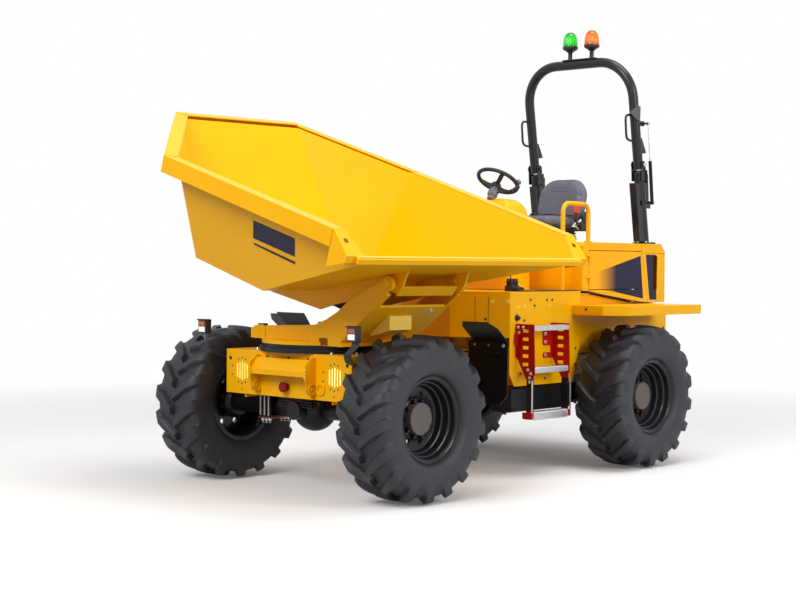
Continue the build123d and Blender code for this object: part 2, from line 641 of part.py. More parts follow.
lip_bar = across([(lip_u, lip_z), (lip_u + 28, lip_z - 12), (lip_u + 28, lip_z - lip_h), (lip_u, lip_z - lip_h)], -1000, 1000)
lip_bar = lip_bar & block((lip_u - 10, lip_u + 40), (-985, 985), (1500, 1800))
add("skip_rim", skip_place(skip_rim + mirrored(channel) + lip_bar))

bearer_rear = (-430.0, 1030.0)
bearer_low = (-200.0, 972.0)
bearer_points = [
    (bearer_rear[0], 1200), bearer_rear, bearer_low, (320, 1020), (450, 1096), (600, 1170), (tip_u - 55, tip_z - 55),
    (tip_u + 55, tip_z - 55), (tip_u + 80, tip_z), (tip_u + 110, tip_z + 200), (400, 1300),
]
bearer = across(bearer_points, bearer_y - 7.5, bearer_y + 7.5)
bearer += Pos(tip_u, bearer_y, tip_z) * Rot(90, 0, 0) * Cylinder(48, 30)
ear_y = (40.0, 54.0)
eye_level = travel_point(ram_eye[0], ram_eye[1], -skip_pitch)
ear = across([(eye_level[0] - 60, 1200), (eye_level[0] - 34, eye_level[1] - 30), (eye_level[0] + 34, eye_level[1] - 30),
              (eye_level[0] + 60, 1200)], *ear_y)
ear_pin = Pos(eye_level[0], ear_y[1] + 3, eye_level[1]) * Rot(90, 0, 0) * Cylinder(ram_pin_r, 20)
bearers = mirrored(bearer + ear) + block((600, 612), (-bearer_y, bearer_y), (1230, 1400))
# the plate that carries the ears stays open in the middle, where the rod's eye drifts
ear_plate = block((eye_level[0] - 6, eye_level[0] + 6), (ear_y[0], bearer_y), (eye_level[1] + 60, 1200))
bearers += mirrored(ear_plate)
bearers -= skip_outer
bearers -= Pos(tip_u, 0, tip_z) * Rot(90, 0, 0) * Cylinder(tip_pin_r + running, 2 * bearer_y + 60)
bearers += mirrored(ear_pin)
add("skip_bearers", skip_place(bearers))

# rubber buffers on the turret, just under the bearers in travel
buffer_at = (-375.0, bearer_y)
buffer_r = 34.0
rear_now = travel_point(*bearer_rear, skip_pitch)
low_now = travel_point(*bearer_low, skip_pitch)
bearer_fall = (rear_now[1] - low_now[1]) / (low_now[0] - rear_now[0])
buffer_top_z = rear_now[1] - bearer_fall * (buffer_at[0] + buffer_r - rear_now[0]) - 5.0
rubber = Pos(buffer_at[0], buffer_at[1], (turret_z + base_t + buffer_top_z) / 2)
rubber *= Cylinder(buffer_r, buffer_top_z - turret_z - base_t)
add("buffers", turret_place(mirrored(rubber)))

# ---------------------------------------------------------------- rear chassis
rail_y = 345.0                # outer face of the frame rails
rail_t = 45.0
rail_top_z = 820.0
head_x = pivot_x - 470        # cross-head that the nose and rails meet
nose_y = 120.0
nose_ear_top = deck_z - ear_t - 4.0
nose_ear_low = belly_z + ear_t + 4.0
rear_end_x = cowl_rear_x + 20

rail = block((rear_end_x, head_x), (rail_y - rail_t, rail_y), (frame_floor_z, rail_top_z))
head = block((head_x, head_x + 20), (-400, 400), (nose_ear_low, nose_ear_top))
end_bar = block((rear_end_x, rear_end_x + 20), (-rail_y, rail_y), (frame_floor_z - 40, rail_top_z))
nose_plan = [(head_x + 20, -170), (pivot_x - 130, -nose_y), (pivot_x, -90), (pivot_x, 90), (pivot_x - 130, nose_y),
             (head_x + 20, 170)]
nose = None
for ear_z in (nose_ear_low, nose_ear_top - ear_t):
    ear_plate = upward(nose_plan, ear_z, ear_z + ear_t) + Pos(pivot_x, 0, ear_z + ear_t / 2) * Cylinder(90, ear_t)
    nose = ear_plate if nose is None else nose + ear_plate
nose += mirrored(block((head_x + 20, pivot_x - 135), (nose_y - plate, nose_y), (nose_ear_low + ear_t, nose_ear_top - ear_t)))
nose -= Pos(pivot_x, 0, pivot_mid_z) * Cylinder(pivot_pin_r + running, 600)

steer_base = (pivot_x - 408, -300.0)   # steering ram's pin on the rear frame (x, y)
steer_eye = (pivot_x + 330, -262.0)    # and on the front frame
steer_z = 600.0
steer_pin_r = 16.0
steer_lug = block((steer_base[0] - 45, steer_base[0] + 20), (steer_base[1] - 28, steer_base[1] + 28), (steer_z + 27, steer_z + 41))
steer_lug += block((steer_base[0] - 45, steer_base[0] + 20), (steer_base[1] - 28, steer_base[1] + 28), (steer_z - 41, steer_z - 27))
steer_lug += Pos(steer_base[0], steer_base[1], steer_z) * Cylinder(steer_pin_r, 100)

rear_chassis = mirrored(rail) + head + end_bar + nose + steer_lug
cross_bars = [(-2050.0, 60.0), (-3150.0, 60.0)]
for bar_x, bar_w in cross_bars:
    rear_chassis += block((bar_x - bar_w / 2, bar_x + bar_w / 2), (-body_y + 40, body_y - 40), (rail_top_z - 50, rail_top_z))
add("rear_chassis", rear_chassis)

rear_clamp = Pos(rear_x, -(web_y - rail_y) - 10, 0) * clamp
rear_saddle = block((rear_x - 120, rear_x + 120), (rail_y + touch, rail_y + 18), (frame_floor_z, frame_floor_z + 60))
add("rear_axle_clamps", mirrored(rear_clamp + rear_saddle))

# ---------------------------------------------------------------- mid body
nose_half = 230.0
mid_front_x = pivot_x + 150
shoulder_x = pivot_x - 55
mid_rear_x = -2200.0
skirt_z = 650.0
wall = 6.0
mid_plan = [
    (mid_front_x, -nose_half), (shoulder_x, -body_y), (mid_rear_x, -body_y), (mid_rear_x, body_y), (shoulder_x, body_y),
    (mid_front_x, nose_half),
]
mid_inner = [
    (mid_front_x - wall, -nose_half + wall), (shoulder_x - wall, -body_y + wall), (mid_rear_x - 1, -body_y + wall),
    (mid_rear_x - 1, body_y - wall), (shoulder_x - wall, body_y - wall), (mid_front_x - wall, nose_half - wall),
]
upper_z = deck_z + 70
mid_body = upward(mid_plan, upper_z, floor_z - 20) - upward(mid_inner, upper_z - 1, floor_z - 20 + 1)
side_skin = across([(shoulder_x, upper_z), (shoulder_x, skirt_z + 90), (shoulder_x - 60, skirt_z), (mid_rear_x + 90, skirt_z),
                    (mid_rear_x + 10, skirt_z + 260), (mid_rear_x, upper_z)], body_y - wall, body_y)
mid_body += mirrored(side_skin)
mid_body += mirrored(block((-2080, -2020), (body_y - 45, body_y - wall), (rail_top_z, upper_z + 40)))
add("mid_body", mid_body)

footplate = upward(mid_plan, floor_z - 20, floor_z)
add("footplate", footplate)

tank_x = (-2100.0, -1380.0)
tank = block(tank_x, (rail_y + 75, body_y - 14), (460, 640))
tank = fillet(tank.edges().filter_by(Axis.X), 25)
tank += block((tank_x[0] + 60, tank_x[0] + 100), (rail_y + touch, rail_y + 80), (600, 636))
tank += block((tank_x[1] - 420, tank_x[1] - 380), (rail_y + touch, rail_y + 80), (610, 636))
add("side_tanks", mirrored(tank))

# ---------------------------------------------------------------- cowl, doors, fenders
cowl_wall = 6.0
cowl_low_z = 1230.0
skirt_kink_x = -3000.0        # the cowl's sill slopes down to here
door_front_x = -2330.0
door_low_z = 1335.0
door_top_z = 1640.0

cowl_side = [(cowl_front_x, floor_z), (cowl_front_x, cowl_top_z - 30), (cowl_front_x - 30, cowl_top_z),
             (cowl_rear_x + 60, cowl_top_z), (cowl_rear_x, cowl_top_z - 60), (cowl_rear_x, cowl_low_z),
             (skirt_kink_x, cowl_low_z), (mid_rear_x - 120, floor_z)]
cowl_core = [(cowl_front_x - cowl_wall, cowl_low_z - 10), (cowl_front_x - cowl_wall, cowl_top_z - 32),
             (cowl_front_x - 32, cowl_top_z - cowl_wall), (cowl_rear_x + 57, cowl_top_z - cowl_wall),
             (cowl_rear_x + cowl_wall, cowl_top_z - 57), (cowl_rear_x + cowl_wall, cowl_low_z - 10)]
cowl = across(cowl_side, -cowl_y, cowl_y) - across(cowl_core, -cowl_y + cowl_wall, cowl_y - cowl_wall)
door_hole = across([(door_front_x, door_low_z), (door_front_x, door_top_z), (door_rear_x, door_top_z),
                    (door_rear_x, door_low_z)], -cowl_y - 10, cowl_y + 10)
cowl -= door_hole
grille_z = (1300.0, 1600.0)
for louvre in range(6):
    low = grille_z[0] + louvre * 52
    cowl -= block((cowl_rear_x - 10, cowl_rear_x + 30), (-400, 400), (low, low + 30))
for post_side in (-1, 1):
    side_slot = block((-3290, -3230), (cowl_y - 10, cowl_y + 10), (1330, 1600))
    cowl -= side_slot if post_side > 0 else mirror(side_slot, Plane.XZ)

door_gap = 5.0
door_t = 22.0
door = block((door_rear_x + door_gap, door_front_x - door_gap), (cowl_y - door_t, cowl_y), (door_low_z + door_gap, door_top_z - door_gap))
hinge_x = door_front_x - 2.0
hinge_y = cowl_y + 9.0
knuckles = None
for knuckle_z in (door_low_z + 50, door_top_z - 90):
    knuckle = Pos(hinge_x, hinge_y, knuckle_z + 20) * (Cylinder(8, 40) - Cylinder(4 + running, 42))
    leaf = block((hinge_x - 50, hinge_x - 3), (cowl_y, cowl_y + 5), (knuckle_z, knuckle_z + 40))
    piece = knuckle + leaf
    knuckles = piece if knuckles is None else knuckles + piece
door_left = door + knuckles
add("door_left", door_left)
add("door_right", mirror(door_left, Plane.XZ))

hinge_stays = None
for knuckle_z in (door_low_z + 50, door_top_z - 90):
    stay = block((hinge_x, hinge_x + 40), (cowl_y, cowl_y + 14), (knuckle_z + 41, knuckle_z + 60))
    stay += Pos(hinge_x, hinge_y, knuckle_z + 50.5) * Cylinder(7, 19)
    stay += Pos(hinge_x, hinge_y, knuckle_z + 20.5) * Cylinder(4, 41)
    hinge_stays = stay if hinge_stays is None else hinge_stays + stay
add("cowl", cowl + mirrored(hinge_stays))

fender_x = (-3220.0, -2090.0)
fender_edge = 70.0
fender_in_y = body_y + 2.0
top_plan = [(fender_x[0], fender_in_y), (fender_x[1], fender_in_y), (fender_x[1], fender_y - 150),
            (fender_x[1] - 130, fender_y), (fender_x[0], fender_y)]
inner_plan = [(fender_x[0] + 6, fender_in_y - 1), (fender_x[1] - 6, fender_in_y - 1), (fender_x[1] - 6, fender_y - 153),
              (fender_x[1] - 133, fender_y - 6), (fender_x[0] + 6, fender_y - 6)]
fender = upward(top_plan, fender_z - fender_edge, fender_z)
fender -= upward(inner_plan, fender_z - fender_edge - 1, fender_z - 6)
fender += block((fender_x[0], mid_rear_x), (cowl_y - 40, fender_in_y + 2), (fender_z - 6, fender_z))
fender += block((fender_x[0] + 100, fender_x[0] + 140), (rail_y + touch, fender_y - 60), (fender_z - 46, fender_z - 6))
fender += block((fender_x[1] - 300, fender_x[1] - 260), (body_y - 60, fender_y - 60), (fender_z - 46, fender_z - 6))
add("fenders", mirrored(fender))

skirt = across([(mid_rear_x, upper_z), (mid_rear_x, floor_z - 20), (mid_rear_x - 130, floor_z - 20), (skirt_kink_x, cowl_low_z - 2),
                (cowl_rear_x + 100, cowl_low_z - 2), (cowl_rear_x + 100, fender_z + touch),
                (fender_x[1] - 120, fender_z + touch), (fender_x[1] - 120, upper_z)], cowl_y - 46, cowl_y - 40)
rear_deck = mirrored(skirt)
rear_deck += mirrored(block((mid_rear_x - 110, mid_rear_x), (cowl_y - 45, body_y), (floor_z - 26, floor_z - 20)))
for post_x in (-2295.0, -3180.0):
    rear_deck += mirrored(block((post_x - 25, post_x + 25), (rail_y - rail_t, rail_y), (rail_top_z, cowl_low_z - 2)))
    rear_deck += block((post_x - 25, post_x + 25), (-cowl_y + 40, cowl_y - 40), (cowl_low_z - 42, cowl_low_z - 2))
add("rear_deck", rear_deck)

engine_x = (-2960.0, -2330.0)
engine = block(engine_x, (-240, 240), (rail_top_z - 180, 1420))
engine += block((engine_x[0] + 60, engine_x[1] - 70), (-rail_y + rail_t + touch, rail_y - rail_t - touch), (rail_top_z - 140, rail_top_z - 60))
add("engine", engine)
radiator = block((cowl_rear_x + 70, cowl_rear_x + 150), (-330, 330), (rail_top_z + touch, 1580))
add("radiator", radiator)

# ---------------------------------------------------------------- console and controls
console_front_x = -1790.0
console_half = 250.0
console_side = [(console_front_x, floor_z), (console_front_x, 1900), (console_front_x - 40, 2020),
                (console_front_x - 150, 2030), (console_front_x - 230, 1960), (console_front_x - 190, floor_z)]
console_core = [(console_front_x - 8, floor_z - 1), (console_front_x - 8, 1895), (console_front_x - 46, 2010),
                (console_front_x - 146, 2021), (console_front_x - 221, 1958), (console_front_x - 182, floor_z - 1)]
console = across(console_side, -console_half, console_half)
console -= across(console_core, -console_half + 8, console_half - 8)

wheel_c = Vector(-2000, 0, 2165)
wheel_tilt = 28.0
steer_wheel_r = 190.0
wheel_plane = Plane(origin=wheel_c, x_dir=(0, 1, 0), z_dir=(-sin(radians(wheel_tilt)), 0, cos(radians(wheel_tilt))))
ring_part = Torus(steer_wheel_r - 13, 13)
hub_part = Cylinder(42, 30)
spokes = None
for spoke_angle in (90, 210, 330):
    spoke = Rot(0, 0, spoke_angle) * block((30, steer_wheel_r - 14), (-14, 14), (-5, 5))
    spokes = spoke if spokes is None else spokes + spoke
steering_wheel = wheel_plane * (ring_part + hub_part + spokes)
column_foot = wheel_c - wheel_plane.z_dir * 168
steering_wheel += bar(tuple(column_foot), tuple(wheel_c - wheel_plane.z_dir * 10), 26)
steering_wheel -= across(console_side, -console_half - 5, console_half + 5)
add("steering_wheel", steering_wheel)

pedal = strip((console_front_x - 300, floor_z + 60), (console_front_x - 240, floor_z + 160), 70, 10, 90)
pedal += block((console_front_x - 262, console_front_x - 242), (118, 132), (floor_z, floor_z + 130))
add("console", console + mirrored(pedal))

# ---------------------------------------------------------------- seat
seat_x = -2560.0
seat_half = 240.0
cushion_z = 1810.0
seat_base = block((seat_x - 190, seat_x + 170), (-180, 180), (cowl_top_z, cowl_top_z + 20))
seat_base += block((seat_x - 170, seat_x + 150), (-165, 165), (cowl_top_z + 20, cushion_z - 16))
seat_base += block((seat_x - 200, seat_x + 200), (-200, 200), (cushion_z - 16, cushion_z - touch))
seat_base += mirrored(block((seat_x - 250, seat_x - 180), (190, seat_half + 10), (cushion_z - 16, cushion_z - touch)))
seat_base += mirrored(block((seat_x - 262, seat_x - 180), (seat_half + touch, seat_half + 10), (cushion_z - 16, cushion_z + 120)))
add("seat_base", seat_base)

cushion = across([(seat_x - 190, cushion_z), (seat_x + 235, cushion_z), (seat_x + 250, cushion_z + 70),
                  (seat_x + 215, cushion_z + 110), (seat_x - 180, cushion_z + 95)], -seat_half, seat_half)
cushion = fillet(cushion.edges().filter_by(Axis.Y), 14)
add("seat_cushion", cushion)
back_foot_x = seat_x - 195.0
back = across([(back_foot_x, cushion_z + 20), (back_foot_x - 60, cushion_z + 20), (back_foot_x - 120, cushion_z + 330),
               (back_foot_x - 95, cushion_z + 415), (back_foot_x - 45, cushion_z + 410), (back_foot_x - 20, cushion_z + 320)],
              -seat_half, seat_half)
back &= along([(-seat_half, cushion_z), (seat_half, cushion_z), (seat_half, cushion_z + 330), (seat_half - 70, cushion_z + 420),
               (-seat_half + 70, cushion_z + 420), (-seat_half, cushion_z + 330)], back_foot_x - 200, back_foot_x + 50)
add("seat_back", back)

# ---------------------------------------------------------------- grab hoops
hoop_r = 17.0
hoop_y = 550.0
hoop_top_z = 1990.0
hoop_x = (-2390.0, -2060.0)
hoop = tube([(hoop_x[0], hoop_y, cowl_top_z + touch), (hoop_x[0], hoop_y, hoop_top_z), (hoop_x[1], hoop_y, hoop_top_z),
             (hoop_x[1], hoop_y, floor_z + touch)], 70, hoop_r)
hoop += Pos(hoop_x[0], hoop_y, cowl_top_z + touch + 4) * Cylinder(32, 8)
hoop += Pos(hoop_x[1], hoop_y, floor_z + touch + 4) * Cylinder(32, 8)
add("grab_hoops", mirrored(hoop))

# ---------------------------------------------------------------- ladder on the left
ladder_x = (rear_x + tyre_d / 2 + 172.5, shoulder_x - 85.0)    # between the rear tyre and the body's shoulder
rung_zs = (450.0, 770.0, 1070.0)
rung_y = body_y + 80
rung_w = 70.0
rungs = None
for rung_z in rung_zs:
    rung = block((ladder_x[0] + 8, ladder_x[1] - 8), (rung_y, rung_y + rung_w), (rung_z - 15, rung_z + 15))
    rungs = rung if rungs is None else rungs + rung
add("ladder_rungs", rungs)
ladder = None
for bracket_x in (ladder_x[0], ladder_x[1] - 8):
    cheek_side = along([(body_y + touch, 1100), (rung_y + rung_w, 1100), (rung_y + rung_w + 12, 740),
                        (rung_y + 10, 700), (body_y + 30, 800), (body_y + touch, 860)], bracket_x, bracket_x + 8)
    for slot_z in range(800, 1080, 60):
        cheek_side -= block((bracket_x - 1, bracket_x + 9), (rung_y - 30, rung_y + 24), (slot_z, slot_z + 24))
    strap = block((bracket_x, bracket_x + 8), (rung_y + 10, rung_y + rung_w), (425, 742))
    foot = block((bracket_x - 20, bracket_x + 28), (body_y + touch, body_y + touch + 6), (860, 1100))
    piece = cheek_side + strap + foot
    ladder = piece if ladder is None else ladder + piece
add("ladder_frame", ladder)

# ---------------------------------------------------------------- roll-over hoop
lean = tan(radians(rops_lean))


def rops_x(z):
    """Centre of the hoop's legs at height z."""
    return rops_foot_x + (z - rops_foot_z) * lean


fold_x = rops_x(rops_fold_z)
split_gap = 6.0
post = None
for leg in (1, -1):
    piece = bar((rops_x(cowl_top_z + 12), leg * rops_y, cowl_top_z + 12), (rops_x(rops_fold_z - 60), leg * rops_y, rops_fold_z - 60), rops_tube_r)
    piece &= block((-3400, -2900), (-700, 700), (cowl_top_z + 12, rops_fold_z))
    foot_plate = block((rops_foot_x - 75, rops_foot_x + 60), (leg * rops_y - 65, leg * rops_y + 65), (cowl_top_z, cowl_top_z + 12))
    fork = None
    for cheek_off in (-52, 40):
        cheek_plate = across([(fold_x - 62, rops_fold_z - 150), (fold_x + 30, rops_fold_z - 150), (fold_x + 45, rops_fold_z + 40),
                              (fold_x - 45, rops_fold_z + 40)], leg * rops_y + cheek_off, leg * rops_y + cheek_off + 12)
        fork = cheek_plate if fork is None else fork + cheek_plate
    piece = piece + foot_plate + fork
    post = piece if post is None else post + piece
post += mirrored(block((rops_foot_x - 60, rops_foot_x + 60), (rops_y - 45, rops_y + 45), (cowl_low_z, cowl_top_z - cowl_wall - touch)))
post += mirrored(Pos(fold_x, rops_y, rops_fold_z) * Rot(90, 0, 0) * Cylinder(14, 124))
add("rops_posts", post)

hoop_points = [(rops_x(rops_fold_z - 36), rops_y, rops_fold_z - 36), (rops_x(rops_top_z - rops_tube_r), rops_y, rops_top_z - rops_tube_r),
               (rops_x(rops_top_z - rops_tube_r), -rops_y, rops_top_z - rops_tube_r), (rops_x(rops_fold_z - 36), -rops_y, rops_fold_z - 36)]
rops = tube(hoop_points, 300, rops_tube_r - 2)
rops -= Pos(fold_x, 0, rops_fold_z) * Rot(90, 0, 0) * Cylinder(14 + running, 2 * rops_y + 200)
handle_z = 2760.0
for leg in (1, -1):
    rops += tube([(rops_x(handle_z - 90) + 30, leg * rops_y, handle_z - 90), (rops_x(handle_z - 90) + 95, leg * rops_y, handle_z - 90),
                  (rops_x(handle_z + 90) + 95, leg * rops_y, handle_z + 90), (rops_x(handle_z + 90) + 30, leg * rops_y, handle_z + 90)], 30, 8)
beacon_ys = (-70.0, 142.0)
beacon_x = rops_x(rops_top_z)
stand_z = rops_top_z - 4
rops += block((beacon_x - 30, beacon_x + 30), (beacon_ys[0] - 50, beacon_ys[1] + 50), (stand_z - 6, stand_z + 10))
beacon_r = 62.0
beacon_base = None
for beacon_y in beacon_ys:
    base = Pos(beacon_x, beacon_y, stand_z + 10 + 35) * Cylinder(40, 70) + Pos(beacon_x, beacon_y, stand_z + 90) * Cylinder(beacon_r, 20)
    beacon_base = base if beacon_base is None else beacon_base + base
add("rops_hoop", rops + beacon_base)
lens_low = stand_z + 100
for beacon_name, beacon_y in (("beacon_green", beacon_ys[0]), ("beacon_amber", beacon_ys[1])):
    lens_profile = [(0, 0), (beacon_r - 4, 0), (beacon_r - 8, 60), (beacon_r - 16, 100), (beacon_r - 34, 122), (0, 130)]
    lens = revolve(Plane.XZ * Polygon(*lens_profile, align=None), Axis.Z)
    add(beacon_name, Pos(beacon_x, beacon_y, lens_low) * lens)

strut_y = rops_y + rops_tube_r + 30
strut_low = (fold_x - 100, rops_fold_z - 300)
strut_top = (fold_x - 30, rops_fold_z + 330)
strut_dx, strut_dz = strut_top[0] - strut_low[0], strut_top[1] - strut_low[1]
strut_l = hypot(strut_dx, strut_dz)
strut_angle = degrees(atan2(strut_dz, strut_dx))


def strut_place(shape):
    return Pos(strut_low[0], strut_y, strut_low[1]) * Rot(0, -strut_angle, 0) * shape


strut_barrel = bar((12, 0, 0), (335, 0, 0), 14) + Rot(90, 0, 0) * Cylinder(16, 16)
strut_barrel -= bar((40, 0, 0), (336, 0, 0), 5.5)
strut_barrel -= Rot(90, 0, 0) * Cylinder(6 + running, 20)
add("strut_barrel", strut_place(strut_barrel))
strut_rod = bar((strut_l - 310, 0, 0), (strut_l - 12, 0, 0), 5) + Pos(strut_l, 0, 0) * Rot(90, 0, 0) * Cylinder(16, 16)
strut_rod -= Pos(strut_l, 0, 0) * Rot(90, 0, 0) * Cylinder(6 + running, 20)
add("strut_rod", strut_place(strut_rod))
post_lug = bar((strut_low[0], rops_y + 4, strut_low[1]), (strut_low[0], strut_y + 12, strut_low[1]), 6)
post_lug += block((strut_low[0] - 20, strut_low[0] + 130), (rops_y + 4, rops_y + 30), (strut_low[1] - 20, strut_low[1] + 20))
nodes["rops_posts"] = nodes["rops_posts"] + post_lug
top_lug = bar((strut_top[0], rops_y + 4, strut_top[1]), (strut_top[0], strut_y - 9, strut_top[1]), 8)
top_lug += block((strut_top[0] - 20, strut_top[0] + 90), (rops_y + 4, rops_y + 30), (strut_top[1] - 20, strut_top[1] + 20))
nodes["rops_hoop"] = nodes["rops_hoop"] + top_lug

# ---------------------------------------------------------------- steering ram
steer_dx, steer_dy = steer_eye[0] - steer_base[0], steer_eye[1] - steer_base[1]
steer_l = hypot(steer_dx, steer_dy)
steer_angle = degrees(atan2(steer_dy, steer_dx))


def steer_place(shape):
    """From a ram drawn along +X with its eye pins along Y to the steering ram's stored line."""
    return Pos(steer_base[0], steer_base[1], steer_z) * Rot(0, 0, steer_angle) * Rot(90, 0, 0) * shape


steer_barrel = ram_barrel(480, 34, steer_pin_r, 26, 18)
add("steer_ram_barrel", steer_place(steer_barrel))
add("steer_ram_rod", steer_place(ram_rod(490, steer_l, 18, steer_pin_r, 18)))
eye_lug = None
for lug_z in (steer_z + 21, steer_z - 35):
    piece = block((steer_eye[0] - 26, steer_eye[0] + 26), (steer_eye[1] - 26, -yoke_y + 8), (lug_z, lug_z + 14))
    eye_lug = piece if eye_lug is None else eye_lug + piece
for stub_z in (steer_z + 34, steer_z - 34):
    eye_lug += Pos(steer_eye[0], steer_eye[1], stub_z) * Cylinder(steer_pin_r, 26)
nodes["front_chassis"] = nodes["front_chassis"] + eye_lug

# ---------------------------------------------------------------- rear end
hitch_z = 640.0
hitch_hole_r = 16.0
hitch = block((cowl_rear_x - 130, rear_end_x), (-70, 70), (hitch_z + 40, hitch_z + 58))
hitch += block((cowl_rear_x - 130, rear_end_x), (-70, 70), (hitch_z - 58, hitch_z - 40))
hitch += block((rear_end_x - 16, rear_end_x), (-110, 110), (hitch_z - 58, hitch_z + 100))
hitch -= Pos(cowl_rear_x - 85, 0, hitch_z) * Cylinder(hitch_hole_r, 200)
add("tow_hitch", hitch)

rear_lamp = block((cowl_rear_x - 30, cowl_rear_x - touch), (430, 560), (1340, 1400))
add("rear_lamps", mirrored(rear_lamp))

# ---------------------------------------------------------------- write the parts
def place(shape):
    """From the working frame to the stored frame."""
    return Pos(-box_middle_x, -box_middle_y, 0) * shape


os.makedirs("parts", exist_ok=True)
low, high = [1e9] * 3, [-1e9] * 3
for name, shape in nodes.items():
    shape = place(shape)
    export_step(shape, os.path.join("parts", name + ".step"))
    box = shape.bounding_box()
    for axis, value in enumerate((box.min.X, box.min.Y, box.min.Z)):
        low[axis] = min(low[axis], value)
    for axis, value in enumerate((box.max.X, box.max.Y, box.max.Z)):
        high[axis] = max(high[axis], value)
print(len(nodes), "nodes, box", [round(v, 1) for v in low], [round(v, 1) for v in high])
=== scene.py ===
# %% [markdown]
# # Site dumper with a swivelling skip
# The machine arrives as a set of rigid pieces that already sit where they belong. This lesson dresses them:
# paint, rubber and glass as node materials, and new surfaces for whatever is rounder or finer than a plain
# solid, such as the tyres' lugs, the wheel dishes, the seat and the lamps.

import bmesh
import bpy
import numpy as np
from mathutils import Matrix, Vector


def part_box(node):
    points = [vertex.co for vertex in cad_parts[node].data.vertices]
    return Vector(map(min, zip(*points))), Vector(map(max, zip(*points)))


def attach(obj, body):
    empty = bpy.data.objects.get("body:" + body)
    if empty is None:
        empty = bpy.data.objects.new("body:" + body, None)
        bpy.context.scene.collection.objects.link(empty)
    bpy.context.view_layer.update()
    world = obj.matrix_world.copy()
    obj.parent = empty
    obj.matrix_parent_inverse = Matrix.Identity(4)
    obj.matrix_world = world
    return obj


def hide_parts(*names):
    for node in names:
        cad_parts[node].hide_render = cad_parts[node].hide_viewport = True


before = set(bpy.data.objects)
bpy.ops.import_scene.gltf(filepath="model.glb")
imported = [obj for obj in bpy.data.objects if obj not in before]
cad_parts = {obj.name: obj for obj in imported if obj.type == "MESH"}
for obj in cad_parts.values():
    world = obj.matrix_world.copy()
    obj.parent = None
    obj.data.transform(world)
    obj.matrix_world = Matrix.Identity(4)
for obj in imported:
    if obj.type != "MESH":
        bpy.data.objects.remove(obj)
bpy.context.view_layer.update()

# %% [markdown]
# A dumper's drawings count from the front axle and the centreline. The stored machine has its origin under
# the middle of its box, so one small function turns drawing places into stored ones. The skip has its own
# level frame too, in which its side rims are flat: tip it about the hinge, then swing it about the slew ring.

# %% Places on the machine
left_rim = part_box("rim_front_left")
right_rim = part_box("rim_front_right")
rear_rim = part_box("rim_rear_left")
AXLE = np.array([(left_rim[0].x + left_rim[1].x) / 2, (left_rim[1].y + right_rim[0].y) / 2, 0.0])
REAR_X = (rear_rim[0].x + rear_rim[1].x) / 2 - AXLE[0]
WHEEL_Y, WHEEL_Z = 0.8775, 0.5375
SLEW_X, HINGE_U, HINGE_Z = -0.120, 0.950, 1.400
SWING, TIP = np.radians(85.0), np.radians(17.0)


def at(x, y, z):
    """A place from the drawing: x ahead of the front axle, y left of the centreline, z above the ground."""
    return AXLE + np.array([x, y, z], float)


def shift(points):
    """The same for an array of drawing points."""
    return np.asarray(points, float) + AXLE


def turret(points):
    """Turret points (u ahead of the slew axis, v left, z up), swung as the machine stands."""
    p = np.asarray(points, float)
    x = SLEW_X + p[..., 0] * np.cos(SWING) - p[..., 1] * np.sin(SWING)
    y = p[..., 0] * np.sin(SWING) + p[..., 1] * np.cos(SWING)
    return shift(np.stack([x, y, p[..., 2]], -1))


def skip(points):
    """Skip points in the frame in which its side rims are level: tipped about the hinge, then swung."""
    p = np.asarray(points, float)
    du, dz = p[..., 0] - HINGE_U, p[..., 2] - HINGE_Z
    u = HINGE_U + du * np.cos(TIP) + dz * np.sin(TIP)
    z = HINGE_Z - du * np.sin(TIP) + dz * np.cos(TIP)
    return turret(np.stack([u, p[..., 1], z], -1))


print("front axle at", AXLE.round(3), "rear axle", round(REAR_X, 3))

# %% [markdown]
# ## The camera
# It stands a little over ten metres off, at the front left and about one and a half metres above the ground,
# and looks slightly down through a long lens.

# %% Camera
RIGHT = Vector((-0.668, 0.744, 0.0)).normalized()
YAW_FORWARD = Vector((-0.744, -0.668, 0.0)).normalized()
PITCH, ROLL = np.radians(1.421), np.radians(0.525)
forward = YAW_FORWARD * np.cos(PITCH) - Vector((0, 0, 1)) * np.sin(PITCH)
upward = RIGHT.cross(forward)
right = RIGHT * np.cos(ROLL) + upward * np.sin(ROLL)
up = upward * np.cos(ROLL) - RIGHT * np.sin(ROLL)
lens = bpy.data.cameras.new("camera")
lens.lens, lens.sensor_width, lens.clip_end = 70.55, 36.0, 200.0
camera = bpy.data.objects.new("camera", lens)
turn = Matrix((right, up, -forward)).transposed().to_4x4()
camera.matrix_world = Matrix.Translation(Vector(at(7.479, 7.459, 1.541))) @ turn
bpy.context.scene.collection.objects.link(camera)
bpy.context.scene.camera = camera
bpy.context.scene.view_settings.view_transform = "Standard"


# %% [markdown]
# ## Shader maths as Python
# A finish is a small graph of nodes. Wrapping a socket in a class with operators lets the graph be written as
# sums and products, and one method makes every other node.

# %% Terms and finishes
class Term:
    """A value that changes over a surface; arithmetic on it adds Math nodes."""

    def __init__(self, tree, socket):
        self.tree, self.socket = tree, socket

    def sum_up(self, operation, first, second):
        node = self.tree.nodes.new("ShaderNodeMath")
        node.operation = operation
        for slot, value in zip(node.inputs, (first, second)):
            feed(self.tree, slot, value)
        return Term(self.tree, node.outputs[0])

    def __add__(self, other):
        return self.sum_up("ADD", self, other)

    def __sub__(self, other):
        return self.sum_up("SUBTRACT", self, other)

    def __rsub__(self, other):
        return self.sum_up("SUBTRACT", other, self)

    def __mul__(self, other):
        return self.sum_up("MULTIPLY", self, other)

    def __abs__(self):
        return self.sum_up("ABSOLUTE", self, 0.0)

    def at_least(self, other):
        return self.sum_up("MAXIMUM", self, other)

    def at_most(self, other):
        return self.sum_up("MINIMUM", self, other)

    __radd__, __rmul__ = __add__, __mul__


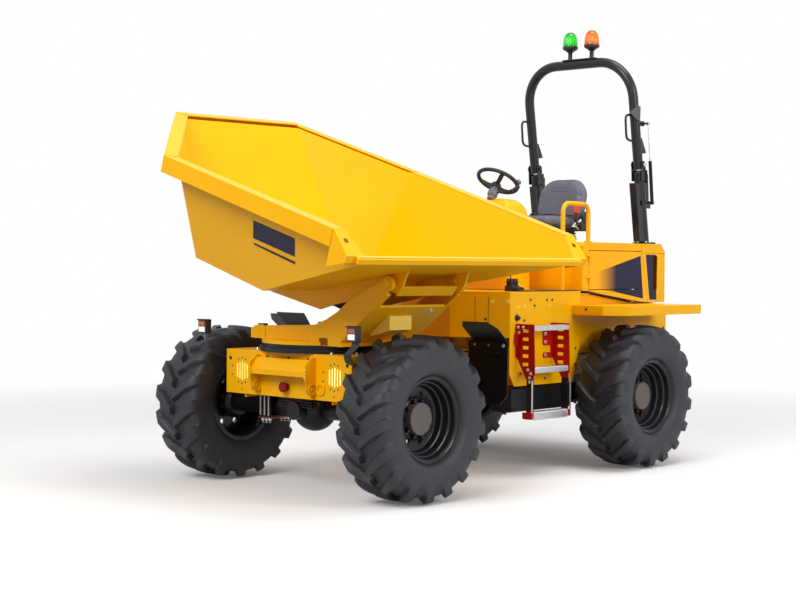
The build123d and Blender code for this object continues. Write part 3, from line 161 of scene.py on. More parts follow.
def feed(tree, socket, value):
    """Link a Term to a socket, or set the socket's own value."""
    if isinstance(value, Term):
        tree.links.new(value.socket, socket)
    else:
        socket.default_value = value


class Finish:
    """One material: a Principled shader, and a method that makes any node that feeds it."""

    def __init__(self, name, **sockets):
        self.material = bpy.data.materials.new(name)
        self.material.use_nodes = True
        self.tree = self.material.node_tree
        self.shader = self.tree.nodes["Principled BSDF"]
        self.set(**sockets)

    def set(self, **sockets):
        for key, value in sockets.items():
            feed(self.tree, self.shader.inputs[key.replace("_", " ")], value)
        return self

    def node(self, kind, settings=None, out=0, **sockets):
        """A node of that kind: settings first, then the values or links of its sockets."""
        node = self.tree.nodes.new(kind)
        for key, value in (settings or {}).items():
            if key == "stops":
                ramp = node.color_ramp
                while len(ramp.elements) < len(value):
                    ramp.elements.new(0.5)
                for element, (place, colour) in zip(ramp.elements, value):
                    element.position, element.color = place, (*colour, 1.0)
            else:
                setattr(node, key, value)
        for key, value in sockets.items():
            numbered = key[0] == "i" and key[1:].isdigit()
            feed(self.tree, node.inputs[int(key[1:]) if numbered else key.replace("_", " ")], value)
        return Term(self.tree, node.outputs[out])

    def base(self):
        """The base colour that the finish has so far."""
        return Term(self.tree, self.shader.inputs["Base Color"].links[0].from_socket)

    def where(self):
        """Object coordinates."""
        return self.node("ShaderNodeTexCoord", out=3)

    def noise(self, scale, detail=3.0, rough=0.55, vector=None):
        return self.node("ShaderNodeTexNoise", Vector=vector or self.where(), Scale=scale, Detail=detail,
                         Roughness=rough)

    def blend(self, amount, low, high):
        """A colour between low and high."""
        return self.node("ShaderNodeMix", {"data_type": "RGBA"}, out=2, i0=amount, i6=low, i7=high)

    def bump(self, height, distance, strength=1.0, normal=None):
        extra = {"Normal": normal} if normal else {}
        return self.node("ShaderNodeBump", Height=height, Distance=distance, Strength=strength, **extra)


def colour(red, green, blue):
    """A colour as it looks on a screen, 0 to 255, as the linear values a shader wants."""
    c = np.array([red, green, blue]) / 255.0
    c = np.where(c <= 0.04045, c / 12.92, ((c + 0.055) / 1.055) ** 2.4)
    return (float(c[0]), float(c[1]), float(c[2]), 1.0)


# %% [markdown]
# ## Paint
# Machine yellow is a thick gloss coat over steel: almost one colour, a faint orange peel, slightly uneven
# gloss, and soft light along every folded edge. A Bevel node rounds the edges for the light alone.

# %% Paint finishes
def paint_finish(name, screen, darker, rough=0.36, coat=0.05, edge=0.003):
    """Gloss paint over steel: a large pale cloud in the colour, orange peel, smears in the gloss."""
    f = Finish(name, Coat_Roughness=0.12, IOR=1.5, Specular_IOR_Level=0.14)
    cloud = f.noise(1.7, 2.0)
    fleck = f.noise(38.0, 4.0)
    f.set(Base_Color=f.blend(cloud * 0.7 + fleck * 0.3, colour(*darker), colour(*screen)))
    smear = f.noise(6.0, 5.0, 0.65)
    f.set(Roughness=smear * 0.16 + (rough - 0.08), Coat_Weight=coat)
    rounded = f.node("ShaderNodeBevel", {"samples": 3}, Radius=edge)
    return f.set(Normal=f.bump(f.noise(420.0, 2.0), 0.0006, 0.25, rounded))


def paint(name, screen, darker, **look):
    return paint_finish(name, screen, darker, **look).material


MACHINE_YELLOW = (255, 192, 0), (248, 174, 0)
YELLOW = paint("machine yellow", *MACHINE_YELLOW)
BLACK = paint("black paint", (30, 30, 32), (20, 20, 22), rough=0.42, coat=0.15)
RED = paint("step red", (205, 28, 20), (178, 18, 14))
PIN_RED = paint("pin red", (150, 14, 8), (104, 8, 6))
RIM_BLACK = paint("wheel black", (34, 35, 40), (22, 23, 26), rough=0.36, coat=0.3)


def metal(name, screen, rough, grain):
    """Bare or plated steel with small crystals that catch the light unevenly."""
    f = Finish(name, Metallic=1.0)
    spangle = f.node("ShaderNodeTexVoronoi", Vector=f.where(), Scale=grain)
    c = np.array(colour(*screen))
    f.set(Base_Color=f.blend(spangle, tuple(c * 0.72), tuple(c)))
    f.set(Roughness=f.noise(grain * 0.6, 4.0) * 0.3 + (rough - 0.15))
    f.set(Normal=f.bump(f.noise(grain * 6, 3.0), 0.0004, 0.3))
    return f.material


ZINC = metal("galvanised steel", (205, 207, 210), 0.42, 90.0)
CHROME = metal("plated rod", (235, 236, 238), 0.16, 30.0)
STEEL = metal("plain steel", (150, 148, 145), 0.4, 140.0)
COPPER = metal("clamp bronze", (150, 95, 60), 0.45, 120.0)


def rubber(name, screen, darker, rough, bump):
    """Matt rubber with a fine grain and a little dust."""
    f = Finish(name)
    f.set(Base_Color=f.blend(f.noise(9.0, 6.0, 0.7), colour(*darker), colour(*screen)))
    f.set(Roughness=f.noise(30.0, 4.0) * 0.2 + (rough - 0.1))
    f.set(Normal=f.bump(f.noise(260.0, 4.0, 0.7), 0.001, bump))
    return f.material


TYRE = rubber("tyre rubber", (42, 44, 51), (20, 21, 26), 0.55, 0.35)
RUBBER = rubber("moulded rubber", (38, 38, 40), (24, 24, 26), 0.6, 0.3)
PLASTIC = rubber("black plastic", (34, 34, 36), (24, 24, 26), 0.45, 0.4)
CAP_GREY = rubber("hub cap grey", (112, 104, 98), (86, 80, 76), 0.6, 0.3)
IRON = rubber("cast iron", (46, 45, 44), (32, 31, 30), 0.55, 0.8)
SEAT_GREY = rubber("seat vinyl", (100, 102, 116), (80, 82, 95), 0.5, 0.45)


def lamp_glass(name, screen, glow):
    """A moulded lens: ribs in the plastic and a lamp behind it that shines a little."""
    f = Finish(name, Roughness=0.12, Coat_Weight=0.6, Emission_Strength=glow)
    ribs = f.node("ShaderNodeTexWave", {"wave_type": "BANDS", "bands_direction": "Z"}, out=1, Vector=f.where(),
                  Scale=60.0)
    c = np.array(colour(*screen))
    shade = f.blend(ribs, tuple(np.append(c[:3] * 0.55, 1.0)), tuple(c))
    return f.set(Base_Color=shade, Emission_Color=shade).material


CLEAR = lamp_glass("headlamp glass", (255, 240, 190), 4.0)
SIGNAL = lamp_glass("red lens", (190, 20, 14), 0.2)


def rgb(*screen):
    return colour(*screen)[:3]


def beacon_lens(name, deep, painted_highlight, glow):
    """Coloured plastic over a lamp that glows a little: a painted highlight across the middle of its height,
    deep colour towards its crown and foot.
    """
    f = Finish(name, Roughness=0.1, Coat_Weight=0.3, Specular_IOR_Level=0.3, Emission_Strength=glow)
    height = f.node("ShaderNodeSeparateXYZ", out=2, Vector=f.where())
    shade = f.node("ShaderNodeValToRGB", {"stops": [(0.0, deep), (0.35, painted_highlight), (0.62, painted_highlight), (1.0, deep)]},
                   Fac=(height - 3.300) * 8.5)
    return f.set(Base_Color=shade, Emission_Color=shade, Normal=f.bump(f.noise(90.0, 2.0), 0.002, 0.2)).material


GREEN_LENS = beacon_lens("green beacon lens", rgb(2, 92, 12), rgb(10, 196, 34), 0.5)
AMBER_LENS = beacon_lens("amber beacon lens", rgb(150, 56, 0), rgb(226, 112, 4), 0.35)

# %% [markdown]
# ## Paint with an edge to it
# The engine cowl's sides carry a plain dark wedge that fades forwards, a dark band round the air slot and two
# fine panel gaps. A sticker like that has no thickness, so it is written into the paint as straight lines in
# the machine's own x and z: a point is inside the wedge when it lies on the right side of every line. The
# ladder's red paint gives way to black straps between two heights in the same way.

# %% Cowl and ladder paint
def side_frame(f):
    """Drawing x, distance from the centreline and height of a surface point, as Terms."""
    place = f.where()
    x, y, z = (f.node("ShaderNodeSeparateXYZ", out=k, Vector=place) for k in range(3))
    return x - float(AXLE[0]), abs(y - float(AXLE[1])), z


def ramp(value, low, high):
    """0 at low, 1 at high, straight between and level outside."""
    share = value * (1.0 / (high - low)) - low / (high - low)
    return share.at_least(0.0).at_most(1.0)


def side_paint():
    """Cowl yellow under a dark wedge and band, a panel gap and the lid's line."""
    f = paint_finish("cowl yellow", *MACHINE_YELLOW)
    yellow = f.base()
    x, y, z = side_frame(f)
    hard = 900.0

    def inside(distance):
        return ramp(distance * hard, -0.5, 0.5)

    low_edge = (x * 0.141 + 1.6966).at_most(x * 0.063 + 1.4888)
    wedge = inside(0.9388 - x * 0.218 - z) * inside(z - low_edge)
    wedge = wedge * inside(x - z * 0.1378 + 3.2628) * ramp(x * -1.0, 2.42, 2.70)
    band = inside(x - z * 0.0413 + 3.3346) * inside(z * 0.167 - 3.3871 - x)
    band = band * inside(z - 1.251) * inside(1.612 - z)
    gap_x = x - z * 0.222 + 3.4294
    gap = inside(0.0016 - abs(gap_x)) * inside(1.70 - z)
    lid = z - 1.624
    lid_line = inside(0.0014 - abs(lid)) * inside(-3.096 - x)
    dark = (wedge + band).at_most(1.0) * ramp(y, 0.596, 0.598)
    lines = (gap + lid_line).at_most(1.0)
    shaded = f.blend(dark, yellow, colour(27, 25, 56))
    return f.set(Base_Color=f.blend(lines, shaded, colour(70, 46, 6))).material


def ladder_paint():
    """Ladder red, with black straps between two heights."""
    f = paint_finish("ladder red", (205, 22, 14), (176, 14, 10))
    red, z = f.base(), side_frame(f)[2]
    strap = ramp(z, 0.476, 0.478) * ramp(z * -1.0, -0.702, -0.700)
    return f.set(Base_Color=f.blend(strap, red, colour(34, 32, 34))).material


SIDE_YELLOW = side_paint()
LADDER_RED = ladder_paint()

DRESS = {
    YELLOW: "front_chassis turret_frame skip_shell skip_rim skip_bearers rear_chassis mid_body footplate "
            "fenders rear_deck console",
    BLACK: "front_axle rear_axle axle_clamps rear_axle_clamps marker_lights slew_ring_base slew_ring_top "
           "front_guards side_tanks tip_ram_barrel steer_ram_barrel strut_barrel seat_base rops_posts "
           "rops_hoop tow_hitch",
    RIM_BLACK: "rim_front_left rim_front_right rim_rear_left rim_rear_right",
    TYRE: "tyre_front_left tyre_front_right tyre_rear_left tyre_rear_right",
    RUBBER: "buffers turret_flap", CHROME: "tip_ram_rod steer_ram_rod strut_rod", STEEL: "pivot_pin",
    PIN_RED: "tow_pin", LADDER_RED: "ladder_frame", ZINC: "ladder_rungs", IRON: "engine radiator",
    PLASTIC: "steering_wheel", SEAT_GREY: "seat_cushion seat_back", CLEAR: "headlamps",
    GREEN_LENS: "beacon_green", AMBER_LENS: "beacon_amber", SIGNAL: "rear_lamps",
    SIDE_YELLOW: "cowl door_left door_right",
}
NODE_FINISH = {node: finish for finish, names in DRESS.items() for node in names.split()}
for node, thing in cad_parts.items():
    thing.data.materials.clear()
    thing.data.materials.append(NODE_FINISH.get(node, YELLOW))
print("painted", len(NODE_FINISH), "solids; unnamed:", sorted(set(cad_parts) - set(NODE_FINISH)))


# %% [markdown]
# ## Surfaces from arrays
# Every new piece is an array of points and the quads between them. A grid that closes on itself makes a ring
# or a tube; a profile turned round an axis makes a wheel; copies of one small shape make rows of bolts.

# %% Grids, turned shapes, tubes and copies
SAME_PLACE = 2e-6                 # points closer than this are one point
BEVEL_ANGLE = np.radians(40)      # edges flatter than this stay unbevelled


def quads(rows, columns, wrap_rows=False, wrap_columns=False, start=0):
    """The quads of a grid of points numbered row by row."""
    i = np.arange(rows if wrap_rows else rows - 1)
    j = np.arange(columns if wrap_columns else columns - 1)
    i, j = np.meshgrid(i, j, indexing="ij")
    a, b = i * columns, ((i + 1) % rows) * columns
    k = (j + 1) % columns
    return (np.stack([a + j, b + j, b + k, a + k], -1).reshape(-1, 4) + start).tolist()


def turned(profile, steps=64):
    """A profile of (radius, height) turned about Z: the point at angle t is (r cos t, r sin t, h)."""
    p = np.asarray(profile, float)
    t = np.linspace(0, 2 * np.pi, steps, endpoint=False)
    ring = np.stack([np.cos(t), np.sin(t)], -1)
    points = np.concatenate([p[None, :, :1] * ring[:, None],
                             np.broadcast_to(p[None, :, 1:], (steps, len(p), 1))], -1)
    return points.reshape(-1, 3), quads(steps, len(p), wrap_rows=True)


def rounded(points, bend, steps=6):
    """A path whose corners are arcs: each corner point gives way to an arc that starts bend before it."""
    p = np.asarray(points, float)
    path = [p[0]]
    for a, b, c in zip(p[:-2], p[1:-1], p[2:]):
        near, far = b + (a - b) / np.linalg.norm(a - b) * bend, b + (c - b) / np.linalg.norm(c - b) * bend
        t = np.linspace(0, 1, steps)[:, None]
        path.extend((1 - t) ** 2 * near + 2 * t * (1 - t) * b + t ** 2 * far)
    path.append(p[-1])
    return np.array(path)


def tube(path, radius, around=16):
    """A round tube: each ring lies square to the path, and turns as little as it can from ring to ring."""
    p = np.asarray(path, float)
    along = np.gradient(p, axis=0)
    along /= np.linalg.norm(along, axis=1, keepdims=True)
    side = np.cross(along[0], [0.3, 0.2, 0.93])
    sides = []
    for direction in along:
        side = side - direction * side.dot(direction)
        side = side / np.linalg.norm(side)
        sides.append(side)
    sides = np.array(sides)
    other = np.cross(along, sides)
    t = np.linspace(0, 2 * np.pi, around, endpoint=False)
    r = np.broadcast_to(np.asarray(radius, float), (len(p),))[:, None, None]
    spokes = np.cos(t)[None, :, None] * sides[:, None] + np.sin(t)[None, :, None] * other[:, None]
    rings = p[:, None] + r * spokes
    faces = quads(len(p), around, wrap_columns=True)
    last = (len(p) - 1) * around
    return rings.reshape(-1, 3), faces + [list(range(around))[::-1], list(range(last, last + around))]


def slab(outline, depth):
    """A flat plate: an outline of (x, y) points from z = 0 to z = depth."""
    p = np.asarray(outline, float)
    n = len(p)
    points = np.concatenate([np.c_[p, np.zeros(n)], np.c_[p, np.full(n, depth)]])
    walls = [[k, (k + 1) % n, (k + 1) % n + n, k + n] for k in range(n)]
    return points, walls + [list(range(n))[::-1], list(range(n, 2 * n))]


def brick(low, high):
    """A box between two corners."""
    (x0, y0, z0), (x1, y1, z1) = low, high
    points, faces = slab([(x0, y0), (x1, y0), (x1, y1), (x0, y1)], z1 - z0)
    return points + [0, 0, z0], faces


def aim(shape, origin, axis, spin=(0, 0, 1)):
    """Stand a shape drawn along Z on a place, along an axis, with its X turned towards spin."""
    points, faces = shape
    z = np.asarray(axis, float) / np.linalg.norm(axis)
    x = np.asarray(spin, float) - z * np.dot(spin, z)
    if np.linalg.norm(x) < 1e-6:
        x = np.array([1.0, 0, 0]) - z * z[0]
    x /= np.linalg.norm(x)
    return np.asarray(points) @ np.array([x, np.cross(z, x), z]) + np.asarray(origin), faces


def joined(shapes):
    """Several shapes as one mesh."""
    points, faces, count = [], [], 0
    for p, f in shapes:
        points.append(np.asarray(p, float))
        faces.extend([[k + count for k in face] for face in f])
        count += len(p)
    return np.concatenate(points), faces


def piece(name, shape, body, finish, smooth=35.0, bevel=0.0, stands_for=()):
    """Put a shape into the scene as a named piece that rides on a body."""
    points, faces = shape
    mesh = bpy.data.meshes.new(name)
    mesh.from_pydata(np.asarray(points).tolist(), [], faces)
    mesh.materials.append(finish)
    thing = bpy.data.objects.new(name, mesh)
    bpy.context.scene.collection.objects.link(thing)
    work = bmesh.new()
    work.from_mesh(mesh)
    bmesh.ops.remove_doubles(work, verts=work.verts, dist=SAME_PLACE)
    bmesh.ops.recalc_face_normals(work, faces=work.faces)
    work.to_mesh(mesh)
    work.free()
    mesh.shade_smooth()
    mesh.set_sharp_from_angle(angle=np.radians(smooth))
    if bevel:
        soft = thing.modifiers.new("edge", "BEVEL")
        soft.width, soft.segments, soft.limit_method, soft.angle_limit = bevel, 2, "ANGLE", BEVEL_ANGLE
    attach(thing, body)
    if stands_for:
        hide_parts(*stands_for)
    return thing


def facing(points, hand):
    """Swap hands across the machine's centreline when hand is -1."""
    p = np.array(points, float)
    p[..., 1] *= hand
    return p


# %% [markdown]
# ## Tyres
# A traction tyre is a plain carcass with two rows of bars. Each bar starts near the middle of the tread and
# sweeps back to the shoulder, and the two rows are half a step apart. The grid below is sheared along the
# bars, so that every wall of a bar follows a grid line and stays crisp.

# %% Tyre surface
LUGS = 17
CARCASS = np.array([
    (0.256, 0.146), (0.268, 0.1495), (0.281, 0.1515), (0.288, 0.166), (0.296, 0.180), (0.318, 0.1905),
    (0.350, 0.1985),
    (0.385, 0.2015), (0.420, 0.1995), (0.447, 0.1945), (0.468, 0.1870), (0.484, 0.1755), (0.4925, 0.158),
    (0.4965, 0.130),
    (0.4985, 0.100), (0.4995, 0.065), (0.500, 0.036), (0.500, 0.016), (0.500, 0.008), (0.500, 0.0),
])
RISE = np.array([0, 0, 0, 0, 0, 0, 0, 0, 0.002, 0.009, 0.019, 0.030, 0.0355, 0.0365, 0.037, 0.0375, 0.0375,
                 0.0375, 0.0375, 0.0375])


def tyre_surface():
    """Point (i, j) is carcass point j pushed out along its normal by the bar's height at turn angle i."""
    half = np.concatenate([CARCASS, (CARCASS * [1, -1])[-2::-1]])
    rise = np.concatenate([RISE, RISE[-2::-1]])
    side = np.sign(half[:, 1])
    tangent = np.gradient(half, axis=0)
    normal = np.stack([tangent[:, 1], -tangent[:, 0]], -1)
    normal /= np.linalg.norm(normal, axis=1, keepdims=True)
    outward = normal * np.where((normal * np.c_[half[:, 0] - 0.38, half[:, 1]]).sum(1) < 0, -1, 1)[:, None]
    step = 2 * np.pi / LUGS
    cell = np.concatenate([np.linspace(0.0, 0.08, 2), np.linspace(0.12, 0.42, 8), np.linspace(0.46, 0.58, 3),
                           np.linspace(0.62, 0.92, 8), [0.96]])
    turn = (np.arange(LUGS)[:, None] + cell[None]).ravel() * step
    across = np.abs(half[:, 1]) / 0.2
    sweep = 0.30 * np.minimum(across, 1.0) ** 1.1
    theta = turn[:, None] + sweep[None]
    phase = (turn[:, None] / step) % 1.0
    own = np.where(side[None] >= 0, phase, (phase + 0.5) % 1.0)
    width = 0.155 + 0.075 * np.clip((across - 0.25) / 0.7, 0, 1)
    wall = 0.055
    bar = np.clip((width[None] + wall / 2 - np.abs(own - 0.27)) / wall, 0, 1)
    bar = np.where(side[None] == 0, 0, bar)
    height = bar * rise[None]
    r = half[None, :, 0] + outward[None, :, 0] * height
    y = half[None, :, 1] + outward[None, :, 1] * height
    points = np.stack([r * np.cos(theta), y, r * np.sin(theta)], -1)
    return points.reshape(-1, 3), quads(len(turn), len(half), wrap_rows=True)


TYRE_SHAPE = tyre_surface()
print("tyre quads", len(TYRE_SHAPE[1]), "largest radius",
      np.hypot(TYRE_SHAPE[0][:, 0], TYRE_SHAPE[0][:, 2]).max().round(4))
WHEELS = {"front_left": (0.0, 1), "front_right": (0.0, -1), "rear_left": (REAR_X, 1),
          "rear_right": (REAR_X, -1)}
for wheel, (x, hand) in WHEELS.items():
    hub = at(x, hand * WHEEL_Y, WHEEL_Z)
    piece("tyre_cover_" + wheel, (TYRE_SHAPE[0] + hub, TYRE_SHAPE[1]), "wheel_" + wheel, TYRE, smooth=42,
          stands_for=["tyre_" + wheel])

# %% [markdown]
# ## Wheel dishes
# The rim is rolled in steps from the outer flange down to a deep disc. One profile turned about the axle gives
# everything but the ring with the hand holes. That ring is eight equal sectors: in each, closed loops of 32
# points shrink from the sector's own edge to the hole, roll over its lip and go down through the disc.

# %% Wheel dishes
RING_STEPS, HOLE_R, HOLES_AT = 72, 0.019, 0.157
OUTER_DISH = [
    (0.1960, 0.0140), (0.2060, 0.0180), (0.2110, 0.0260), (0.2130, 0.0500), (0.2160, 0.0560), (0.2240, 0.0600),
    (0.2290, 0.0680), (0.2310, 0.0960), (0.2340, 0.1030), (0.2430, 0.1080), (0.2480, 0.1180), (0.2500, 0.1420),
    (0.2560, 0.1500), (0.2640, 0.1545), (0.2740, 0.1575), (0.2780, 0.1565), (0.2795, 0.1530), (0.2785, 0.1500),
    (0.2540, 0.1480), (0.2540, -0.1480), (0.2785, -0.1500), (0.2785, -0.1530), (0.2765, -0.1560),
    (0.2475, -0.1560),
    (0.2475, 0.0060), (0.2100, -0.0020), (0.1960, -0.0040),
]
INNER_DISH = [(0.1300, 0.0240), (0.1200, 0.0270), (0.1080, 0.0280), (0.1060, 0.0300), (0.0, 0.0300)]
CAP = [(0.105, 0.028), (0.105, 0.070), (0.102, 0.0755), (0.096, 0.078), (0.088, 0.078), (0.085, 0.0755),
       (0.0, 0.0750)]


def hole_sector():
    """Loops from the sector's edge to the hole and through it, about the sector whose middle lies along X."""
    half, arc, spoke = np.pi / 8, RING_STEPS // 8, 7
    out_a, in_a = np.linspace(-half, half, arc + 1), np.linspace(half, -half, arc + 1)
    up_r, down_r = np.linspace(0.196, 0.130, spoke + 1), np.linspace(0.130, 0.196, spoke + 1)
    r = np.concatenate([np.full(arc, 0.196), up_r[:-1], np.full(arc, 0.130), down_r[:-1]])
    a = np.concatenate([out_a[:-1], np.full(spoke, half), in_a[:-1], np.full(spoke, -half)])
    edge = np.stack([r * np.cos(a), r * np.sin(a)], -1)
    away = edge - [HOLES_AT, 0]
    away /= np.linalg.norm(away, axis=1, keepdims=True)

    def loop(radius, lift, level=None):
        flat = np.array([HOLES_AT, 0]) + away * radius
        skin = np.interp(np.hypot(flat[:, 0], flat[:, 1]), [0.130, 0.142, 0.160, 0.196],
                         [0.024, 0.014, 0.012, 0.014])
        return np.c_[flat, skin + lift if level is None else np.full(len(flat), level)]

    skin_edge = np.interp(r, [0.130, 0.142, 0.160, 0.196], [0.024, 0.014, 0.012, 0.014])
    loops = [np.c_[edge, skin_edge], loop(0.0275, 0.0), loop(0.0255, 0.0022), loop(0.0225, 0.0026),
             loop(0.0200, 0.0012),
             loop(HOLE_R, -0.0010), loop(HOLE_R, 0, -0.004), np.c_[edge, np.full(len(edge), -0.004)]]
    return np.concatenate(loops), quads(len(loops), len(edge), wrap_columns=True)


def dish():
    sector, faces = hole_sector()
    parts = [turned(OUTER_DISH, RING_STEPS), turned(INNER_DISH, RING_STEPS),
             turned([(0.0, -0.004), (0.1300, -0.004)], RING_STEPS)]
    for k in range(8):
        a = (k + 0.5) * np.pi / 4
        turn_z = np.array([[np.cos(a), np.sin(a), 0], [-np.sin(a), np.cos(a), 0], [0, 0, 1]])
        parts.append((sector @ turn_z, faces))
    return joined(parts)


DISH_SHAPE = dish()
HUB_NUT = turned([(0.0, 0.030), (0.0095, 0.030), (0.012, 0.027), (0.012, 0.0)], 6)
for wheel, (x, hand) in WHEELS.items():
    hub, out = at(x, hand * WHEEL_Y, WHEEL_Z), (0, hand, 0)
    piece("wheel_dish_" + wheel, aim(DISH_SHAPE, hub, out), "wheel_" + wheel, RIM_BLACK, smooth=28,
          stands_for=["rim_" + wheel])
    piece("hub_cap_" + wheel, aim(turned(CAP, 48), hub, out), "wheel_" + wheel, CAP_GREY, smooth=30)
    ring_angles = np.arange(10) * np.pi / 5
    nuts = [aim(HUB_NUT, hub + np.array([np.cos(a) * 0.118, hand * 0.026, np.sin(a) * 0.118]), out)
            for a in ring_angles]
    piece("wheel_nuts_" + wheel, joined(nuts), "wheel_" + wheel, RIM_BLACK)

# %% [markdown]
# ## Bolts and flat plates
# Fasteners make a machine look its size. A bolt head is a six-sided profile on a round washer, and every row
# of them is one mesh. Flat brackets are outlines drawn in one plane and given a thickness.

# %% Bolts and plates
def bolts(name, places, axis, body, finish, radius=0.010, height=0.007):
    """A bolt head at each place: a hexagon with a chamfered top on a flat washer."""
    head = turned([(0, height), (radius * 0.72, height), (radius * 0.86, height * 0.8), (radius * 0.86, 0.0),
                   (0, 0.0)], 6)
    washer = turned([(0, 0.0016), (radius * 1.2, 0.0016), (radius * 1.25, 0.0), (0, 0.0)], 18)
    shapes = [aim(part, place, axis) for place in places for part in (washer, head)]
    return piece(name, joined(shapes), body, finish)


def side_plate(outline, y0, y1):
    """A plate drawn in the upright plane of travel: an outline of (x, z) from y0 to y1."""
    points, faces = slab(outline, 1.0)
    return np.stack([points[:, 0], y0 + (y1 - y0) * points[:, 2], points[:, 1]], -1), faces


def placed(shape, frame_of=shift):
    """Put a shape drawn in one of the machine's own frames where it belongs."""
    return frame_of(shape[0]), shape[1]


def disc(radius, height):
    """A flat disc or spot with a small chamfer."""
    return turned([(0, height), (radius * 0.92, height), (radius, height * 0.4), (radius, 0), (0, 0)], 20)


def spots(name, places, axis, body, finish, radius, height=0.001):
    """Round spots: plugs, studs, and flat dark discs as painted shade for drilled holes seen from outside."""
    return piece(name, joined([aim(disc(radius, height), place, axis) for place in places]), body, finish)


# %% [markdown]
# ## The seat
# A moulded seat is foam under vinyl. Its form here is a superellipsoid, a ball pulled towards a box, which
# gets an even mesh and then a short cloth simulation with air pressure inside, so the cover swells between
# its corners as stretched vinyl does. Seams are pressed in afterwards, along lines given as formulas.

# %% Seat forms, pressure and seams
def superball(half, low, high, power=0.42, rows=40, around=64):
    """x = a c(v) c(u), y = b c(v) s(u), z = c s(v), where c and s are cosine and sine to a power below one."""
    def bent(value, exponent):
        return np.sign(value) * np.abs(value) ** exponent
    v = np.linspace(-np.pi / 2, np.pi / 2, rows)[:, None]
    u = np.linspace(-np.pi, np.pi, around, endpoint=False)[None]
    a, b, c = half
    x = a * bent(np.cos(v), high) * bent(np.cos(u), low)
    y = b * bent(np.cos(v), high) * bent(np.sin(u), low)
    z = np.broadcast_to(c * bent(np.sin(v), power), x.shape)
    return np.stack([x, y, z], -1).reshape(-1, 3), quads(rows, around, wrap_columns=True)


def settled(thing):
    """Swap a thing's mesh for what its modifiers make of it."""
    graph = bpy.context.evaluated_depsgraph_get()
    mesh = bpy.data.meshes.new_from_object(thing.evaluated_get(graph))
    thing.modifiers.clear()
    thing.data = mesh


def corners(mesh):
    flat = np.empty(len(mesh.vertices) * 3, np.float32)
    mesh.vertices.foreach_get("co", flat)
    return flat.reshape(-1, 3).astype(float)


def normals(mesh):
    flat = np.empty(len(mesh.vertices) * 3, np.float32)
    mesh.vertices.foreach_get("normal", flat)
    return flat.reshape(-1, 3).astype(float)


def stuffed(name, shape, limit, groove, finish, stands_for):
    """Even mesh, air pressure with capped movement, one subdivision, then seams pressed in by groove(points)."""
    thing = piece(name, shape, "rear_half", finish, smooth=180, stands_for=stands_for)
    even = thing.modifiers.new("even", "REMESH")
    even.mode, even.voxel_size = "VOXEL", 0.006
    settled(thing)
    start = corners(thing.data)
    cloth = thing.modifiers.new("air", "CLOTH")
    cloth.settings.quality = 5
    cloth.settings.use_pressure, cloth.settings.uniform_pressure_force = True, 4.0
    cloth.settings.effector_weights.gravity = 0.0
    for step in range(1, 21):
        bpy.context.scene.frame_set(step)
    settled(thing)
    bpy.context.scene.frame_set(1)
    moved = corners(thing.data) - start
    length = np.linalg.norm(moved, axis=1, keepdims=True)
    thing.data.vertices.foreach_set("co",
                                    (start + moved * np.minimum(1,
                                        limit / np.maximum(length, 1e-9))).ravel())
    thing.data.update()
    fine = thing.modifiers.new("fine", "SUBSURF")
    fine.levels = fine.render_levels = 1
    settled(thing)
    points = corners(thing.data)
    thing.data.vertices.foreach_set("co",
                                    (points - normals(thing.data) * groove(points - AXLE)[:, None]).ravel())
    thing.data.update()
    thing.data.shade_smooth()
    print(name, "faces", len(thing.data.polygons))
    return thing


def rounded_ring(x, y, half_x, half_y, corner):
    """Distance from a rounded rectangle's outline, zero on the line itself."""
    qx, qy = np.abs(x) - half_x + corner, np.abs(y) - half_y + corner
    return np.abs(np.hypot(np.maximum(qx, 0), np.maximum(qy, 0)) + np.minimum(np.maximum(qx, qy), 0) - corner)


def seam(distance, width, depth):
    return depth * np.exp(-((distance / width) ** 2))


# %% Seat back and cushion
CUSHION_MID, BACK_MID = np.array([-2.530, 0.0, 1.862]), np.array([-2.812, 0.0, 2.038])
BACK_LEAN = np.radians(11.0)


def seat_back_form():
    """Drawn lying, thickness along X and height along Z, then hollowed down the middle and leaned back."""
    points, faces = superball((0.036, 0.238, 0.192), 0.62, 0.50, 0.62)
    height = points[:, 2] / 0.192
    points[:, 1] *= 1.0 - 0.20 * np.clip(height, 0, 1) ** 2.2
    points[:, 0] += 0.020 * (points[:, 1] / 0.238) ** 2 - 0.010
    x = points[:, 0] * np.cos(BACK_LEAN) - points[:, 2] * np.sin(BACK_LEAN)
    z = points[:, 0] * np.sin(BACK_LEAN) + points[:, 2] * np.cos(BACK_LEAN)
    return np.stack([x, points[:, 1], z], -1) + BACK_MID + AXLE, faces


def cushion_form():
    """Wider than it is long, a little higher at the front edge."""
    points, faces = superball((0.202, 0.222, 0.040), 0.30, 0.42, 0.55)
    points[:, 2] += 0.008 * (points[:, 0] / 0.2) ** 2 - 0.006 * (1 - (points[:, 1] / 0.222) ** 2)
    return points + CUSHION_MID + AXLE, faces


def back_seams(p):
    """An embossed badge panel near the top, two curved bolster seams and the piping round the edge."""
    up = (p[:, 2] - BACK_MID[2]) / np.cos(BACK_LEAN)
    front = p[:, 0] > BACK_MID[0] - up * np.sin(BACK_LEAN) - 0.004
    panel = rounded_ring(p[:, 1] - 0.004, up - 0.122, 0.114, 0.042, 0.026)
    inner = rounded_ring(p[:, 1] - 0.004, up - 0.122, 0.078, 0.019, 0.012)
    bolster = np.abs(np.abs(p[:, 1]) - (0.160 + 0.035 * np.cos(up * 14)))
    piping = np.abs(p[:, 0] - (BACK_MID[0] - up * np.sin(BACK_LEAN)) + 0.012)
    shape = seam(panel, 0.0040, 0.0034) + seam(inner, 0.0035, 0.0022) + seam(bolster, 0.0035,
        0.0030) * (up < 0.085)
    return np.where(front, shape, 0) - seam(piping, 0.004, 0.0018)


